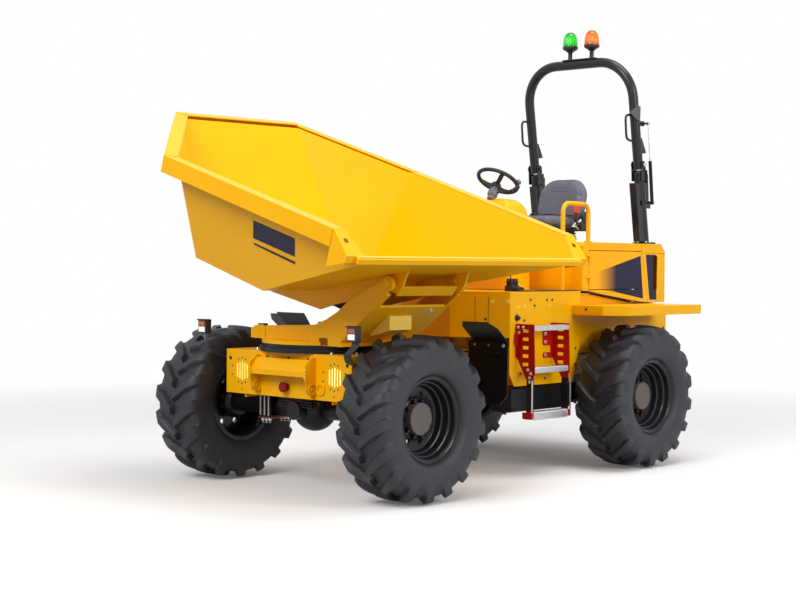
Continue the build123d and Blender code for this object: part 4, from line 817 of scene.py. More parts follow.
def cushion_seams(p):
    """Two side bolsters, one cross seam behind the knees and piping round the middle."""
    x, y, z = (p - CUSHION_MID).T
    bolster = np.abs(np.abs(y) - 0.148 - 0.02 * np.cos(x * 9))
    knee = np.abs(x - 0.105 + 0.25 * y ** 2)
    top = seam(bolster, 0.004, 0.0035) + seam(knee, 0.004, 0.0030) * (np.abs(y) < 0.15)
    return np.where(z > 0, top, 0) - seam(np.abs(z + 0.006), 0.004, 0.0015)


stuffed("seat_back_pad", seat_back_form(), 0.012, back_seams, SEAT_GREY, ["seat_back"])
stuffed("seat_cushion_pad", cushion_form(), 0.012, cushion_seams, SEAT_GREY, ["seat_cushion"])

# %% [markdown]
# Under the cushion sit a rubber bellows round the spring, the runners, a recliner hub with its lever and an
# adjuster wheel. A lap belt lies across the back of the cushion and ends in an orange buckle.

# %% Bellows, belt and adjusters
def bellows():
    """A rounded rectangle carried up Z while its size goes in and out as a wave."""
    t = np.linspace(0, 2 * np.pi, 72, endpoint=False)[None]
    k = np.linspace(0, 1, 49)[:, None]
    wave = 1 - 0.035 * np.cos(k * 2 * np.pi * 5)
    x = 0.190 * wave * np.sign(np.cos(t)) * np.abs(np.cos(t)) ** 0.35
    y = 0.212 * wave * np.sign(np.sin(t)) * np.abs(np.sin(t)) ** 0.35
    z = np.broadcast_to(1.7215 + k * 0.108, x.shape)
    points = np.stack([x - 2.56, y, z], -1).reshape(-1, 3)
    return points, quads(49, 72, wrap_columns=True) + [list(range(72))[::-1], list(range(48 * 72, 49 * 72))]


piece("seat_bellows", placed(bellows()), "rear_half", RUBBER, smooth=60)
BELT = rubber("belt orange", (225, 78, 22), (190, 52, 14), 0.6, 0.5)
BELT_DARK = rubber("belt webbing", (150, 62, 40), (110, 40, 26), 0.7, 0.8)


def band(path, width, thick, across):
    """A flat strap: the path offset to both sides along one direction, with a small thickness."""
    p = np.asarray(path, float)
    side = np.asarray(across, float) / np.linalg.norm(across) * width / 2
    along = np.gradient(p, axis=0)
    up = np.cross(along, side)
    up = up / np.linalg.norm(up, axis=1, keepdims=True) * thick / 2
    rings = np.stack([p - side - up, p + side - up, p + side + up, p - side + up], 1)
    last = (len(p) - 1) * 4
    return rings.reshape(-1, 3), quads(len(p), 4, wrap_columns=True) + [[3, 2, 1, 0],
        [last, last + 1, last + 2, last + 3]]


belt_y = np.linspace(-0.236, 0.236, 30)
belt_line = np.stack([-2.672 + 0.03 * np.cos(belt_y * 5), belt_y,
                      1.922 + 0.006 * np.cos(belt_y * 19) - 0.05 * np.clip(np.abs(belt_y) - 0.19, 0, 1)], -1)
piece("lap_belt", placed(band(belt_line, 0.046, 0.0022, (1, 0, 0.12))), "rear_half", BELT_DARK, smooth=60)
tongue_line = rounded([(-2.642, 0.238, 1.918), (-2.636, 0.262, 1.928), (-2.620, 0.275, 1.958)], 0.01)
piece("belt_tongue", placed(band(tongue_line, 0.040, 0.0024, (1, 0, 0.2))), "rear_half", BELT, smooth=60)
buckle = brick((-2.652, 0.258, 1.935), (-2.592, 0.284, 1.992))
piece("belt_buckle", placed(buckle), "rear_half", BELT, bevel=0.006)
piece("buckle_stalk",
      tube(shift(rounded([(-2.640, 0.262, 1.79), (-2.634, 0.272, 1.86), (-2.622, 0.271, 1.938)], 0.03)), 0.010),
      "rear_half",
      RUBBER)
recliner = [aim(disc(0.046, 0.020), at(-2.762, hand * 0.250, 1.905), (0, hand, 0)) for hand in (1, -1)]
recliner += [aim(disc(0.030, 0.034), at(-2.700, 0.250, 1.838), (0, 1, 0)),
             aim(disc(0.024, 0.030), at(-2.448, 0.222, 1.792), (0, 1, 0))]
recliner += [placed(side_plate([(-2.800, 1.93), (-2.735, 1.93), (-2.690, 1.80), (-2.800, 1.80)],
                               0.2505, 0.262))]
recliner += [placed(brick((-2.72, 0.188, 1.7205), (-2.40, 0.208, 1.742))),
             placed(brick((-2.72, -0.208, 1.7205), (-2.40, -0.188, 1.742)))]
piece("seat_adjusters", joined(recliner), "rear_half", PLASTIC, bevel=0.002)
lever = tube(shift(rounded([(-2.640, 0.275, 1.812), (-2.600, 0.292, 1.820), (-2.560, 0.300, 1.846)], 0.02)),
             0.0065)
piece("recline_lever", lever, "rear_half", ZINC)

# %% [markdown]
# ## Console
# The console under the steering wheel is a moulded hood. Rings of a rounded rectangle go up it, and they
# shrink quickly near the top, so the hood ends in a soft dome.

# %% Console hood
HOOD = [(1.3350, 0.1540, 0.2480), (1.8000, 0.1500, 0.2440), (1.9100, 0.1420, 0.2300), (1.9600, 0.1300, 0.2120),
        (1.9940, 0.1080, 0.1860),
        (2.0160, 0.0760, 0.1480), (2.0270, 0.0360, 0.0860), (2.0295, 0.0, 0.0)]
t = np.linspace(0, 2 * np.pi, 72, endpoint=False)
lobe = np.stack([np.sign(np.cos(t)) * np.abs(np.cos(t)) ** 0.34,
                 np.sign(np.sin(t)) * np.abs(np.sin(t)) ** 0.34], -1)
hood = np.array([np.c_[lobe * [half_x, half_y] + [-1.9445, 0.0], np.full(72, z)] for z, half_x,
                 half_y in HOOD]).reshape(-1, 3)
hood_faces = quads(len(HOOD), 72, wrap_columns=True) + [list(range(72))[::-1]]
piece("console_hood", placed((hood, hood_faces)), "rear_half", YELLOW, smooth=50, stands_for=["console"])
panel = [brick((-2.104, y - 0.020, 1.800), (-2.092, y + 0.020, 1.850)) for y in (-0.15, -0.09, -0.03, 0.03)]
piece("console_switches", placed(joined(panel)), "rear_half", PLASTIC, bevel=0.004)

# %% [markdown]
# ## Steering wheel
# The rim is a thick ring, the spokes are flat bars that dip to a hub set below the rim's plane, and a grey
# spinner knob stands on the rim. A multi-purpose lever leaves the column under the wheel.

# %% Steering wheel
WHEEL_MID, WHEEL_TILT = np.array([-1.966, 0.0, 2.165]), np.radians(32)
WHEEL_UP = np.array([-np.sin(WHEEL_TILT), 0, np.cos(WHEEL_TILT)])
WHEEL_AHEAD = np.array([np.cos(WHEEL_TILT), 0, np.sin(WHEEL_TILT)])


def on_wheel(angle, radius, height):
    """Angle in degrees from the driver's left, radius out from the middle, height above the rim's plane."""
    a = np.radians(angle)
    return at(*(WHEEL_MID + radius * (np.cos(a) * np.array([0, 1, 0])
                                      + np.sin(a) * WHEEL_AHEAD) + height * WHEEL_UP))


ring_angle = np.linspace(0, 2 * np.pi, 41)[:-1]
rim_section = [(0.158 + 0.0150 * np.cos(a), 0.0150 * np.sin(a) * (1 + 0.06 * np.cos(3 * a)))
               for a in ring_angle[::2]]
wheel_parts = [aim(turned(rim_section + rim_section[:1], 96), at(*WHEEL_MID), WHEEL_UP)]
wheel_parts.append(aim(turned([(0, 0.012), (0.030, 0.012), (0.036, 0.006), (0.038, -0.004), (0.034, -0.026),
                               (0, -0.026)], 36),
                       at(*(WHEEL_MID - 0.036 * WHEEL_UP)), WHEEL_UP))
for angle in (41, 168, 281):
    spoke = np.array([on_wheel(angle, r, h) for r,
                      h in ((0.020, -0.040), (0.065, -0.036), (0.110, -0.018), (0.154, -0.002))])
    wheel_parts.append(band(rounded(spoke, 0.02), 0.034, 0.011,
                            np.cross(on_wheel(angle, 1, 0) - at(*WHEEL_MID), WHEEL_UP)))
piece("steering_rim", joined(wheel_parts), "rear_half", RUBBER, smooth=50, bevel=0.0015,
      stands_for=["steering_wheel"])
GREY_PLASTIC = rubber("grey plastic", (120, 122, 128), (92, 94, 100), 0.5, 0.35)
column = WHEEL_MID - 0.168 * WHEEL_UP
column_parts = [tube(shift([column, WHEEL_MID - 0.10 * WHEEL_UP, WHEEL_MID - 0.052 * WHEEL_UP]),
                     [0.030, 0.026, 0.024], 28)]
column_parts += [aim(turned([(0, 0.03), (0.030, 0.03), (0.040, 0.016), (0.040, -0.022), (0.030, -0.034),
                             (0, -0.034)], 28),
                     at(*(WHEEL_MID - 0.110 * WHEEL_UP)), WHEEL_UP)]
piece("steering_column", joined(column_parts), "rear_half", GREY_PLASTIC)
knob = turned([(0, 0.046), (0.016, 0.045), (0.024, 0.036), (0.024, 0.022), (0.014, 0.012), (0.010, 0.0),
               (0, 0)], 28)
piece("spinner_knob", aim(knob, on_wheel(-32, 0.150, 0.010), WHEEL_UP), "rear_half", GREY_PLASTIC, smooth=60)
lever_line = rounded([on_wheel(0, 0.03, -0.108), on_wheel(-4, 0.105, -0.104),
                      on_wheel(-10, 0.165, -0.055)], 0.03)
lever_parts = [tube(lever_line, 0.0055, 12),
               aim(disc(0.012, 0.045), lever_line[-1], lever_line[-1] - lever_line[-3])]
piece("column_lever", joined(lever_parts), "rear_half", RUBBER)

# %% [markdown]
# ## Roll-over hoop
# The hoop is one bent steel tube that folds back about two pins. The fixed legs end in forks round the pins.
# Carrying tubes round their corners as arcs keeps the highlight along them in one piece.

# %% Hoop and legs
LEAN = np.tan(np.radians(9.0))
FOLD_Z, LEG_Y = 2.330, 0.515


def leg_x(z):
    return -3.215 + (z - 1.740) * LEAN


FOLD_X = leg_x(FOLD_Z)
HOOP_GREY = paint("hoop black", (40, 40, 44), (24, 24, 27), rough=0.34, coat=0.4)
BRACKET_GREY = paint("bracket grey", (92, 98, 100), (74, 80, 82), rough=0.4, coat=0.2)
top_x, top_z = leg_x(3.156), 3.158


def arc_corner(a, b, c, bend, steps=14):
    """A circular arc that joins the runs a-b and b-c, starting bend before the corner b."""
    u, v = (a - b) / np.linalg.norm(a - b), (c - b) / np.linalg.norm(c - b)
    half = np.arccos(np.clip(u @ v, -1, 1)) / 2
    radius = bend * np.tan(half)
    middle = b + (u + v) / np.linalg.norm(u + v) * radius / np.sin(half)
    start, end = b + u * bend - middle, b + v * bend - middle
    sweep = np.arccos(np.clip(start @ end / radius ** 2, -1, 1))
    t = np.linspace(0, 1, steps)[:, None]
    return middle + (np.sin((1 - t) * sweep) * start + np.sin(t * sweep) * end) / np.sin(sweep)


foot_l, foot_r = np.array([leg_x(2.2945), LEG_Y, 2.2945]), np.array([leg_x(2.2945), -LEG_Y, 2.2945])
high_l, high_r = np.array([top_x, LEG_Y, top_z]), np.array([top_x, -LEG_Y, top_z])
hoop_line = np.concatenate([[foot_l], arc_corner(foot_l, high_l, high_r, 0.30),
                            arc_corner(high_l, high_r, foot_r, 0.30), [foot_r]])
hoop_parts = [tube(shift(hoop_line), 0.039, 32)]
for hand in (1, -1):
    low, high = 2.515, 2.720
    ends = [(leg_x(low) + 0.034, hand * LEG_Y, low), (leg_x(low) + 0.144, hand * LEG_Y, low + 0.008),
            (leg_x(high) + 0.130, hand * LEG_Y, high), (leg_x(high) + 0.034, hand * LEG_Y, high)]
    hoop_parts.append(tube(shift(rounded(ends, 0.045, 8)), 0.0095, 14))
    tail = [(leg_x(2.42) - 0.036, 2.42), (leg_x(2.42) - 0.092, 2.43), (leg_x(2.53) - 0.045, 2.545),
            (leg_x(2.53) - 0.032, 2.545)]
    hoop_parts.append(placed(side_plate(tail, hand * LEG_Y - 0.024, hand * LEG_Y + 0.024)))
hoop_parts.append(placed(brick((top_x - 0.036, -0.125, top_z + 0.033), (top_x + 0.036, 0.197, top_z + 0.042))))
hoop_parts.append(tube([at(-3.139, 0.519, 2.660), at(-3.139, 0.577, 2.660)], 0.008, 14))
hoop_parts.append(placed(side_plate([(-3.160, 2.640), (-3.160, 2.680), (-3.070, 2.680), (-3.070, 2.640)],
                                    0.519, 0.545)))
piece("hoop_tube", joined(hoop_parts), "hoop", HOOP_GREY, smooth=40, stands_for=["rops_hoop"])
strut_top = placed(side_plate([(-2.930, 2.733), (-3.035, 2.797), (-3.076, 2.790), (-3.072, 2.672),
                               (-3.030, 2.680)], 0.5555, 0.5615))
piece("strut_bracket", strut_top, "hoop", BRACKET_GREY)

post_parts = []
for hand in (1, -1):
    post_parts.append(tube([at(leg_x(1.712), hand * LEG_Y, 1.712), at(leg_x(2.2765), hand * LEG_Y, 2.2765)],
                           0.041, 32))
    for side in (-0.0495, 0.0415):
        cheek = [(FOLD_X - 0.046, 2.200), (FOLD_X + 0.018, 2.200), (FOLD_X + 0.028, 2.345),
                 (FOLD_X + 0.016, 2.360),
                 (FOLD_X - 0.018, 2.360), (FOLD_X - 0.030, 2.345)]
        post_parts.append(placed(side_plate(cheek, hand * LEG_Y + side, hand * LEG_Y + side + 0.008)))
    web = [(FOLD_X - 0.060, 2.190), (FOLD_X - 0.046, 2.190), (FOLD_X - 0.046, 2.2905), (FOLD_X - 0.060, 2.2905)]
    post_parts.append(placed(side_plate(web, hand * LEG_Y - 0.0495, hand * LEG_Y + 0.0495)))
    tail = [(leg_x(2.02) - 0.036, 2.02), (leg_x(2.06) - 0.085, 2.06), (leg_x(2.26) - 0.100, 2.262),
            (leg_x(2.26) - 0.036, 2.262)]
    post_parts.append(placed(side_plate(tail, hand * LEG_Y - 0.022, hand * LEG_Y + 0.022)))
    reach = 0.104 if hand == 1 else 0.060
    guide = [(leg_x(1.716) + 0.036, 1.716), (leg_x(1.716) + reach, 1.716), (leg_x(2.182) + reach, 2.182),
             (leg_x(2.182) + 0.036, 2.182)]
    post_parts.append(placed(side_plate(guide, hand * LEG_Y - 0.030, hand * LEG_Y + 0.030)))
    foot = brick((-3.290, hand * LEG_Y - 0.065, 1.7005), (-3.155, hand * LEG_Y + 0.065, 1.712))
    post_parts += [placed(foot),
                   tube([at(FOLD_X, hand * LEG_Y - 0.062, FOLD_Z), at(FOLD_X, hand * LEG_Y + 0.062, FOLD_Z)],
                        0.014, 20)]
    post_parts.append(placed(brick((-3.275, hand * LEG_Y - 0.045, 1.230),
                                   (-3.155, hand * LEG_Y + 0.045, 1.6935))))
post_parts.append(tube([at(-3.2216, 0.519, 2.030), at(-3.2216, 0.598, 2.030)], 0.006, 14))
post_parts.append(placed(side_plate([(-3.262, 1.985), (-3.262, 2.040), (-3.230, 2.052), (-3.112, 2.050),
                                     (-3.112, 2.010), (-3.20, 1.985)], 0.519, 0.545)))
piece("hoop_legs", joined(post_parts), "rear_half", HOOP_GREY, smooth=40, stands_for=["rops_posts"])
pins = [at(FOLD_X, hand * (LEG_Y + 0.0625), FOLD_Z) for hand in (1,)]
bolts("fold_pins_left", pins, (0, 1, 0), "rear_half", ZINC, radius=0.014, height=0.008)
bolts("fold_pins_right", [at(FOLD_X, -LEG_Y - 0.0625, FOLD_Z)], (0, -1, 0), "rear_half", ZINC, radius=0.014,
      height=0.008)
feet = [at(-3.2225 + dx, hand * LEG_Y + dy, 1.712) for hand in (1, -1) for dx in (-0.052, 0.052)
        for dy in (-0.050, 0.050)]
bolts("leg_foot_bolts", feet, (0, 0, 1), "rear_half", ZINC, radius=0.011, height=0.009)

# %% [markdown]
# ## Beacons
# Each beacon is a fluted lens on a flared black cup and a slim stalk. The flutes are a wave added to the
# radius of a turned profile, and they fade out towards the crown.

# %% Beacons
LENS = np.array([(0.060, 0.000), (0.0605, 0.012), (0.0585, 0.016), (0.058, 0.030), (0.0555, 0.055),
                 (0.051, 0.078), (0.044, 0.096),
                 (0.034, 0.108), (0.022, 0.115), (0.010, 0.118), (0.0, 0.1185), (0.0, 0.010), (0.030, 0.006),
                 (0.056, 0.0)])


def fluted_lens():
    """The turned lens with r multiplied by 1 + 0.02 cos 28 t on its upright wall."""
    points, faces = turned(LENS, 168)
    radius, angle = np.hypot(points[:, 0], points[:, 1]), np.arctan2(points[:, 1], points[:, 0])
    wall = np.clip((points[:, 2] - 0.014) / 0.01, 0, 1) * np.clip((0.100 - points[:, 2]) / 0.03, 0,
        1) * (radius > 0.04)
    grown = 1 + 0.018 * wall * np.cos(28 * angle)
    return points * np.stack([grown, grown, np.ones_like(grown)], -1), faces


CUP = [(0, 0.0), (0.022, 0.0), (0.022, 0.008), (0.0175, 0.012), (0.0175, 0.058), (0.022, 0.064), (0.036, 0.076),
       (0.052, 0.084), (0.061, 0.092),
       (0.063, 0.100), (0.063, 0.108), (0.060, 0.110), (0, 0.110)]
for name, beacon_y, finish, slot in (("green", -0.070, GREEN_LENS, "green_lens"),
                                     ("amber", 0.142, AMBER_LENS, "amber_lens")):
    foot = at(top_x, beacon_y, top_z + 0.0385)
    piece("beacon_cup_" + name, aim(turned(CUP, 56), foot, (0, 0, 1)), "hoop", PLASTIC, smooth=40)
    piece("beacon_lens_" + name, aim(fluted_lens(), foot + [0, 0, 0.1105], (0, 0, 1)), "hoop", finish,
          smooth=60,
          stands_for=["beacon_" + name])

# %% [markdown]
# ## Front plate and deck
# Small black discs, painted shade for drilled holes, ring each lamp window, studs hold the deck, and rings
# weld the tie-down eyes to the gussets. Bright bolts hold the slew ring to the deck all the way round.

# %% Front details
# Black discs round each lamp window: painted shade standing for drilled holes.
front_spots = []
for hand in (1, -1):
    for angle in (62, 90, 118, 242, 270, 298):
        a = np.radians(angle)
        front_spots.append(at(0.2703, hand * 0.440 + 0.074 * np.cos(a), 0.786 + 0.088 * np.sin(a)))
    for dy, dz in ((-0.098, 0.030), (-0.098, -0.030), (0.098, 0.030), (0.098, -0.030), (0.0, -0.125)):
        front_spots.append(at(0.2703, hand * 0.440 + dy, 0.786 + dz))
piece("lamp_hole_painted_shade", joined([aim(disc(0.0062, 0.0008), place, (1, 0, 0)) for place in front_spots]),
      "front_half", PLASTIC)
bolts("plate_corner_studs", [at(0.2703, 0.555, 0.868), at(0.2703, -0.555, 0.868)], (1, 0, 0), "front_half",
      BLACK, 0.010, 0.006)
bolts("deck_lip_studs", [at(0.2703, y, 0.893) for y in (-0.19, 0.015, 0.20)], (1, 0, 0), "front_half", IRON,
      0.009, 0.006)
ring_section = [(0.034 + 0.006 * np.cos(a), 0.004 + 0.004 * np.sin(a)) for a in np.linspace(0, 2 * np.pi, 13)]
rings = [aim(turned(ring_section, 40), at(0.300, hand * y, 0.700), (0, hand * turn, 0)) for hand in (1, -1)
         for y, turn in ((0.2702, 1), (0.2548, -1))]
rings += [aim(turned(ring_section, 40), at(0.2702, hand * 0.320, 0.700), (1, 0, 0)) for hand in (1, -1)]
piece("tie_eye_rings", joined(rings), "front_half", YELLOW, smooth=60)
pads = [brick((0.3645, 0.2565, z), (0.3680, 0.2685, z + 0.012)) for z in (0.772, 0.796, 0.822)]
# A paler copy of machine yellow for the gusset pads, the ram bracket, the plugs and the lip bead; on the lip
# bead it is a painted highlight.
PALE = paint("pale yellow", (255, 226, 110), (255, 214, 80))
piece("gusset_pads", placed(joined(pads)), "front_half", PALE, bevel=0.001)
blank = joined([brick((0.2702, -0.178, 0.668), (0.2720, -0.142, 0.728)),
                brick((0.2718, -0.172, 0.702), (0.2730, -0.148, 0.722)),
                brick((0.2718, -0.172, 0.674), (0.2730, -0.148, 0.694))])
piece("blank_data_plate", placed(blank), "front_half", YELLOW, bevel=0.001)
slew_bolts = [at(SLEW_X + 0.486 * np.cos(a), 0.486 * np.sin(a), 0.930)
              for a in (np.arange(18) + 0.35) * np.pi / 9 if SLEW_X + 0.486 * np.cos(a) < 0.25]
bolts("slew_ring_bolts", slew_bolts, (0, 0, 1), "front_half", ZINC, 0.011, 0.012)

# %% [markdown]
# Each front corner carries a marker lamp with an amber and a clear window on a broad flat strap. Below the
# front plate hang the axle's clamp bolts and a bronze clamp plate, and further back a ribbed cooler.

# %% Marker lamps and axle clamps
MARKER_AMBER = lamp_glass("marker amber", (200, 84, 4), 0.15)
MARKER_CLEAR = lamp_glass("marker clear", (245, 248, 255), 0.7)
for hand, side in ((1, "left"), (-1, "right")):
    housing = brick((0.346, hand * 0.710 - 0.040, 1.032), (0.398, hand * 0.710 + 0.040, 1.130))
    hood = brick((0.360, hand * 0.710 - 0.042, 1.122), (0.408, hand * 0.710 + 0.042, 1.132))
    strap_line = rounded([(0.356, hand * 0.718, 1.045), (0.366, hand * 0.712, 0.998),
                          (0.386, hand * 0.664, 0.945), (0.328, hand * 0.626, 0.893),
                          (0.262, hand * 0.620, 0.872)], 0.02)
    strap = band(strap_line, 0.052, 0.007, (0.5, hand * -0.86, 0))
    stay = placed(brick((0.212, hand * 0.613 - 0.018, 0.792), (0.248, hand * 0.613 + 0.018, 0.885)))
    piece("marker_housing_" + side, joined([placed(housing), placed(hood), placed(strap), stay]), "front_half",
          PLASTIC, bevel=0.003,
          stands_for=["marker_lights"] if hand == 1 else ())
    amber = brick((0.396, hand * 0.710 - 0.029, 1.086), (0.4025, hand * 0.710 + 0.029, 1.116))
    clear = brick((0.396, hand * 0.710 - 0.029, 1.044), (0.4025, hand * 0.710 + 0.029, 1.080))
    piece("marker_amber_" + side, placed(amber), "front_half", MARKER_AMBER, bevel=0.002)
    piece("marker_clear_" + side, placed(clear), "front_half", MARKER_CLEAR, bevel=0.002)

clamp_heads = []
for hand in (1, -1):
    for x in (-0.088, 0.088):
        for y in (0.350, 0.385, 0.420):
            clamp_heads.append(at(x, hand * y, 0.4515))
clamp_end = turned([(0, 0.030), (0.008, 0.030), (0.008, 0.016), (0.014, 0.016), (0.014, 0.0), (0, 0)], 12)
piece("clamp_bolt_ends", joined([aim(clamp_end, place, (0, 0, -1)) for place in clamp_heads]),
      "front_half", ZINC)
piece("clamp_bronze",
      joined([placed(brick((-0.112, hand * 0.385 - 0.058, 0.4525), (0.113, hand * 0.385 + 0.058, 0.462)))
              for hand in (1, -1)]),
      "front_half", COPPER, bevel=0.002)
shanks = [tube([at(x, hand * y, 0.473), at(x, hand * y, 0.606)], 0.0085, 12) for hand in (1, -1)
          for x in (-0.107, 0.107) for y in (0.345, 0.385, 0.425)]
piece("clamp_shanks", joined(shanks), "front_half", STEEL)
ribs = [placed(brick((0.172, -0.16, 0.560 + 0.017 * k), (0.196, 0.16, 0.568 + 0.017 * k))) for k in range(4)]
piece("cooler_ribs", joined(ribs), "front_half", BLACK, bevel=0.001)

# %% [markdown]
# ## Turret
# Folded stiffeners, a bracket over the ram, flat black discs as painted shade for round holes, a sheet of
# shaded yellow as painted shade in an access opening and the bolt of a hose clip, all on the frame that swings
# with the skip.

# %% Turret details
def turret_shape(shape):
    return placed(shape, turret)


tab = [(-0.405, 1.008), (-0.405, 1.070), (-0.385, 1.094), (-0.300, 1.104), (-0.268, 1.090), (-0.268, 1.008)]
panel = [(-0.374, 1.018), (-0.374, 1.078), (-0.318, 1.082), (-0.318, 1.018)]
turret_parts = [turret_shape(side_plate(tab, hand * 0.3302, hand * 0.3372)) for hand in (1, -1)]
turret_parts += [turret_shape(side_plate(panel, hand * 0.3370, hand * 0.3398)) for hand in (1, -1)]
cowl_over = [(0.585, 1.068), (0.592, 1.056), (0.700, 1.078), (0.772, 1.098), (0.772, 1.190), (0.748, 1.190)]
apron = [(0.936, 1.330), (0.942, 1.322), (0.995, 1.378), (0.989, 1.386)]
turret_parts.append(turret_shape(side_plate(apron, -0.250, 0.250)))
piece("turret_folds", joined(turret_parts), "turret", YELLOW, bevel=0.0015)
piece("ram_bracket", turret_shape(side_plate(cowl_over, -0.145, 0.049)), "turret", PALE, bevel=0.002)
# A darkened copy of machine yellow: painted shade over the access opening, and the colour of the nose seams.
SHADED_YELLOW = paint("shadowed yellow", (150, 84, 4), (120, 64, 2), rough=0.55, coat=0.0)
# The access opening is a flat sheet in this shaded yellow: painted shade for its recess.
access = [(0.292, 0.9875), (0.292, 1.028), (0.300, 1.037), (0.372, 1.037), (0.380, 1.028), (0.380, 0.9875)]
piece("access_window_painted_shade", turret_shape(side_plate(access, -0.3312, -0.3302)), "turret", SHADED_YELLOW)
cross_down = turret([0.57, 0, -0.82]) - turret([0, 0, 0])
# Flat black discs on the cross plate: painted shade standing for its holes.
holes_at = [turret([0.581, -0.065, 1.0662]), turret([0.581, 0.120, 1.0662])]
spots("cross_plate_hole_shade", holes_at, cross_down, "turret", PLASTIC, 0.020)
bolts("hose_clip_bolt", [turret([0.800, 0.190, 1.2255])], cross_down, "turret", ZINC, 0.013, 0.012)
plate_bolts = [turret([0.437 * np.cos(a), 0.437 * np.sin(a), 1.010])
               for a in np.radians([200, 222, 244, 300, 322, 340, 20, 45, 135, 160])]
bolts("turret_plate_bolts", plate_bolts, (0, 0, 1), "turret", YELLOW, 0.010, 0.008)

# %% [markdown]
# ## Skip
# The near side carries a bare dark plate with a thin stripe below it. Both lie on the sloping wall, so their
# corners are places on that wall. The lip has a rolled bead in pale yellow, a painted highlight along the lip,
# and each front end a lifting eye.

# %% Skip details
NAVY = paint("navy decal", (27, 24, 52), (20, 18, 42), rough=0.4)
wall_out = np.cross(skip([0.689, -0.922, 1.606]) - skip([0.286, -0.940, 1.603]),
                    skip([0.261, -0.894, 1.481]) - skip([0.286, -0.940, 1.603]))
wall_out = wall_out / np.linalg.norm(wall_out) * -np.sign(wall_out @ (skip([0.4, 0, 1.5]) - skip([0.4, -1,
    1.5])))


def wall_patch(corners, thick):
    """A thin patch with four corners on the wall, divided into a grid so that it follows the wall's plane."""
    a, b, c, d = (skip(corner) for corner in corners)
    s, t = np.meshgrid(np.linspace(0, 1, 9), np.linspace(0, 1, 5), indexing="ij")
    s, t = s[..., None], t[..., None]
    face = ((1 - s) * (1 - t) * a + s * (1 - t) * b + s * t * c + (1 - s) * t * d).reshape(-1, 3)
    count = len(face)
    quads_front = np.array(quads(9, 5))
    edge = [k * 5 for k in range(9)] + [40 + k for k in range(1, 5)] + [k * 5 + 4
        for k in range(7, -1, -1)] + [k for k in range(3, 0, -1)]
    walls = [[edge[k], edge[(k + 1) % len(edge)], edge[(k + 1) % len(edge)] + count, edge[k] + count]
             for k in range(len(edge))]
    points = np.concatenate([face + wall_out * 0.0003, face + wall_out * thick])
    return points, quads_front[:, ::-1].tolist() + (quads_front + count).tolist() + walls


piece("skip_plate_blank",
      wall_patch([(0.286, -0.9403, 1.603), (0.689, -0.9223, 1.606), (0.667, -0.8762, 1.485),
                  (0.261, -0.8938, 1.481)], 0.0022),
      "skip", NAVY)
piece("skip_stripe",
      wall_patch([(0.260, -0.8825, 1.451), (0.666, -0.8635, 1.452), (0.663, -0.8565, 1.434),
                  (0.260, -0.8775, 1.438)], 0.0018),
      "skip", BLACK)
lip_edge = np.array([(1.336, v, 1.688) for v in np.linspace(-0.97, 0.97, 40)])
# The bead's pale yellow is a painted highlight along the lip.
piece("lip_bead_painted_highlight", tube(skip(lip_edge), 0.0062, 14), "skip", PALE)

# %% [markdown]
# ## Guards, ladder and body side
# Bolts along the guards' knee, toothed rungs between red brackets, plugs and bolts on the body, a rubber
# edging along the footplate and a small block of control valves.

# %% Guards and ladder
knee_bolts = [at(-0.7262, hand * y, 0.985) for hand in (1, -1) for y in (0.805, 0.925, 1.045)]
bolts("guard_knee_bolts_rear", knee_bolts, (-1, 0, 0), "front_half", ZINC, 0.011, 0.008)
front_heads = [at(-0.7198, hand * y, 0.985) for hand in (1, -1) for y in (0.805, 0.925, 1.045)]
bolts("guard_knee_bolts", front_heads, (1, 0, 0), "front_half", ZINC, 0.012, 0.008)


def toothed_rung(z, bite, tall):
    """A channel along X whose upper and lower edges rise and fall as a triangle wave of height bite."""
    x = np.linspace(-1.842, -1.428, 121)
    wave = bite * (2 * np.abs((x * 1000 / 26.0) % 1.0 - 0.5))
    section = np.array([(0.700, 0.010), (0.706, 0.014), (0.764, 0.014), (0.770, 0.010), (0.770, -0.012),
                        (0.766, -0.012), (0.766, 0.008),
                        (0.704, 0.008), (0.704, -0.012), (0.700, -0.012)])
    lift = np.where(section[:, 1] > 0, 1.0, -1.0)
    rings = np.stack([np.broadcast_to(x[:, None], (121, 10)), np.broadcast_to(section[None, :, 0], (121, 10)),
                      z + tall * section[None, :, 1] + wave[:, None] * lift[None]], -1)
    last = 120 * 10
    return rings.reshape(-1, 3), quads(121, 10, wrap_columns=True) + [list(range(10))[::-1],
        list(range(last, last + 10))]


rungs = joined([toothed_rung(0.442, 0.009, 1.8), toothed_rung(0.770, 0.006, 1.3),
                toothed_rung(1.070, 0.0012, 1.3)])
piece("toothed_rungs", placed(rungs), "rear_half", ZINC, smooth=25, stands_for=["ladder_rungs"])
end_caps = [placed(brick((x, 0.698, z - 0.017), (x + 0.010, 0.774, z + 0.017))) for z in (0.450, 0.770, 1.070)
            for x in (-1.8415, -1.4385)]
piece("rung_ends", joined(end_caps), "rear_half", ZINC, bevel=0.002)
edges = [placed(brick((x, 0.7705, 0.440), (x + 0.012, 0.777, 0.700))) for x in (-1.871, -1.409)]
piece("strap_edges", joined(edges), "rear_half", ZINC, bevel=0.001)
tabs = [side_plate([(-1.868, 0.935), (-1.868, 1.045), (-1.735, 1.045), (-1.725, 1.035), (-1.725, 0.945),
                    (-1.735, 0.935)], 0.6203, 0.6283),
        side_plate([(-1.868, 0.843), (-1.868, 0.883), (-1.740, 0.883), (-1.730, 0.875), (-1.730, 0.851),
                    (-1.740, 0.843)], 0.6203, 0.6283),
        side_plate([(-1.470, 0.935), (-1.470, 1.045), (-1.400, 1.045), (-1.380, 1.025), (-1.380, 0.955),
                    (-1.400, 0.935)], 0.6265, 0.6345)]
piece("ladder_tabs", placed(joined(tabs)), "rear_half", RED, bevel=0.0015)
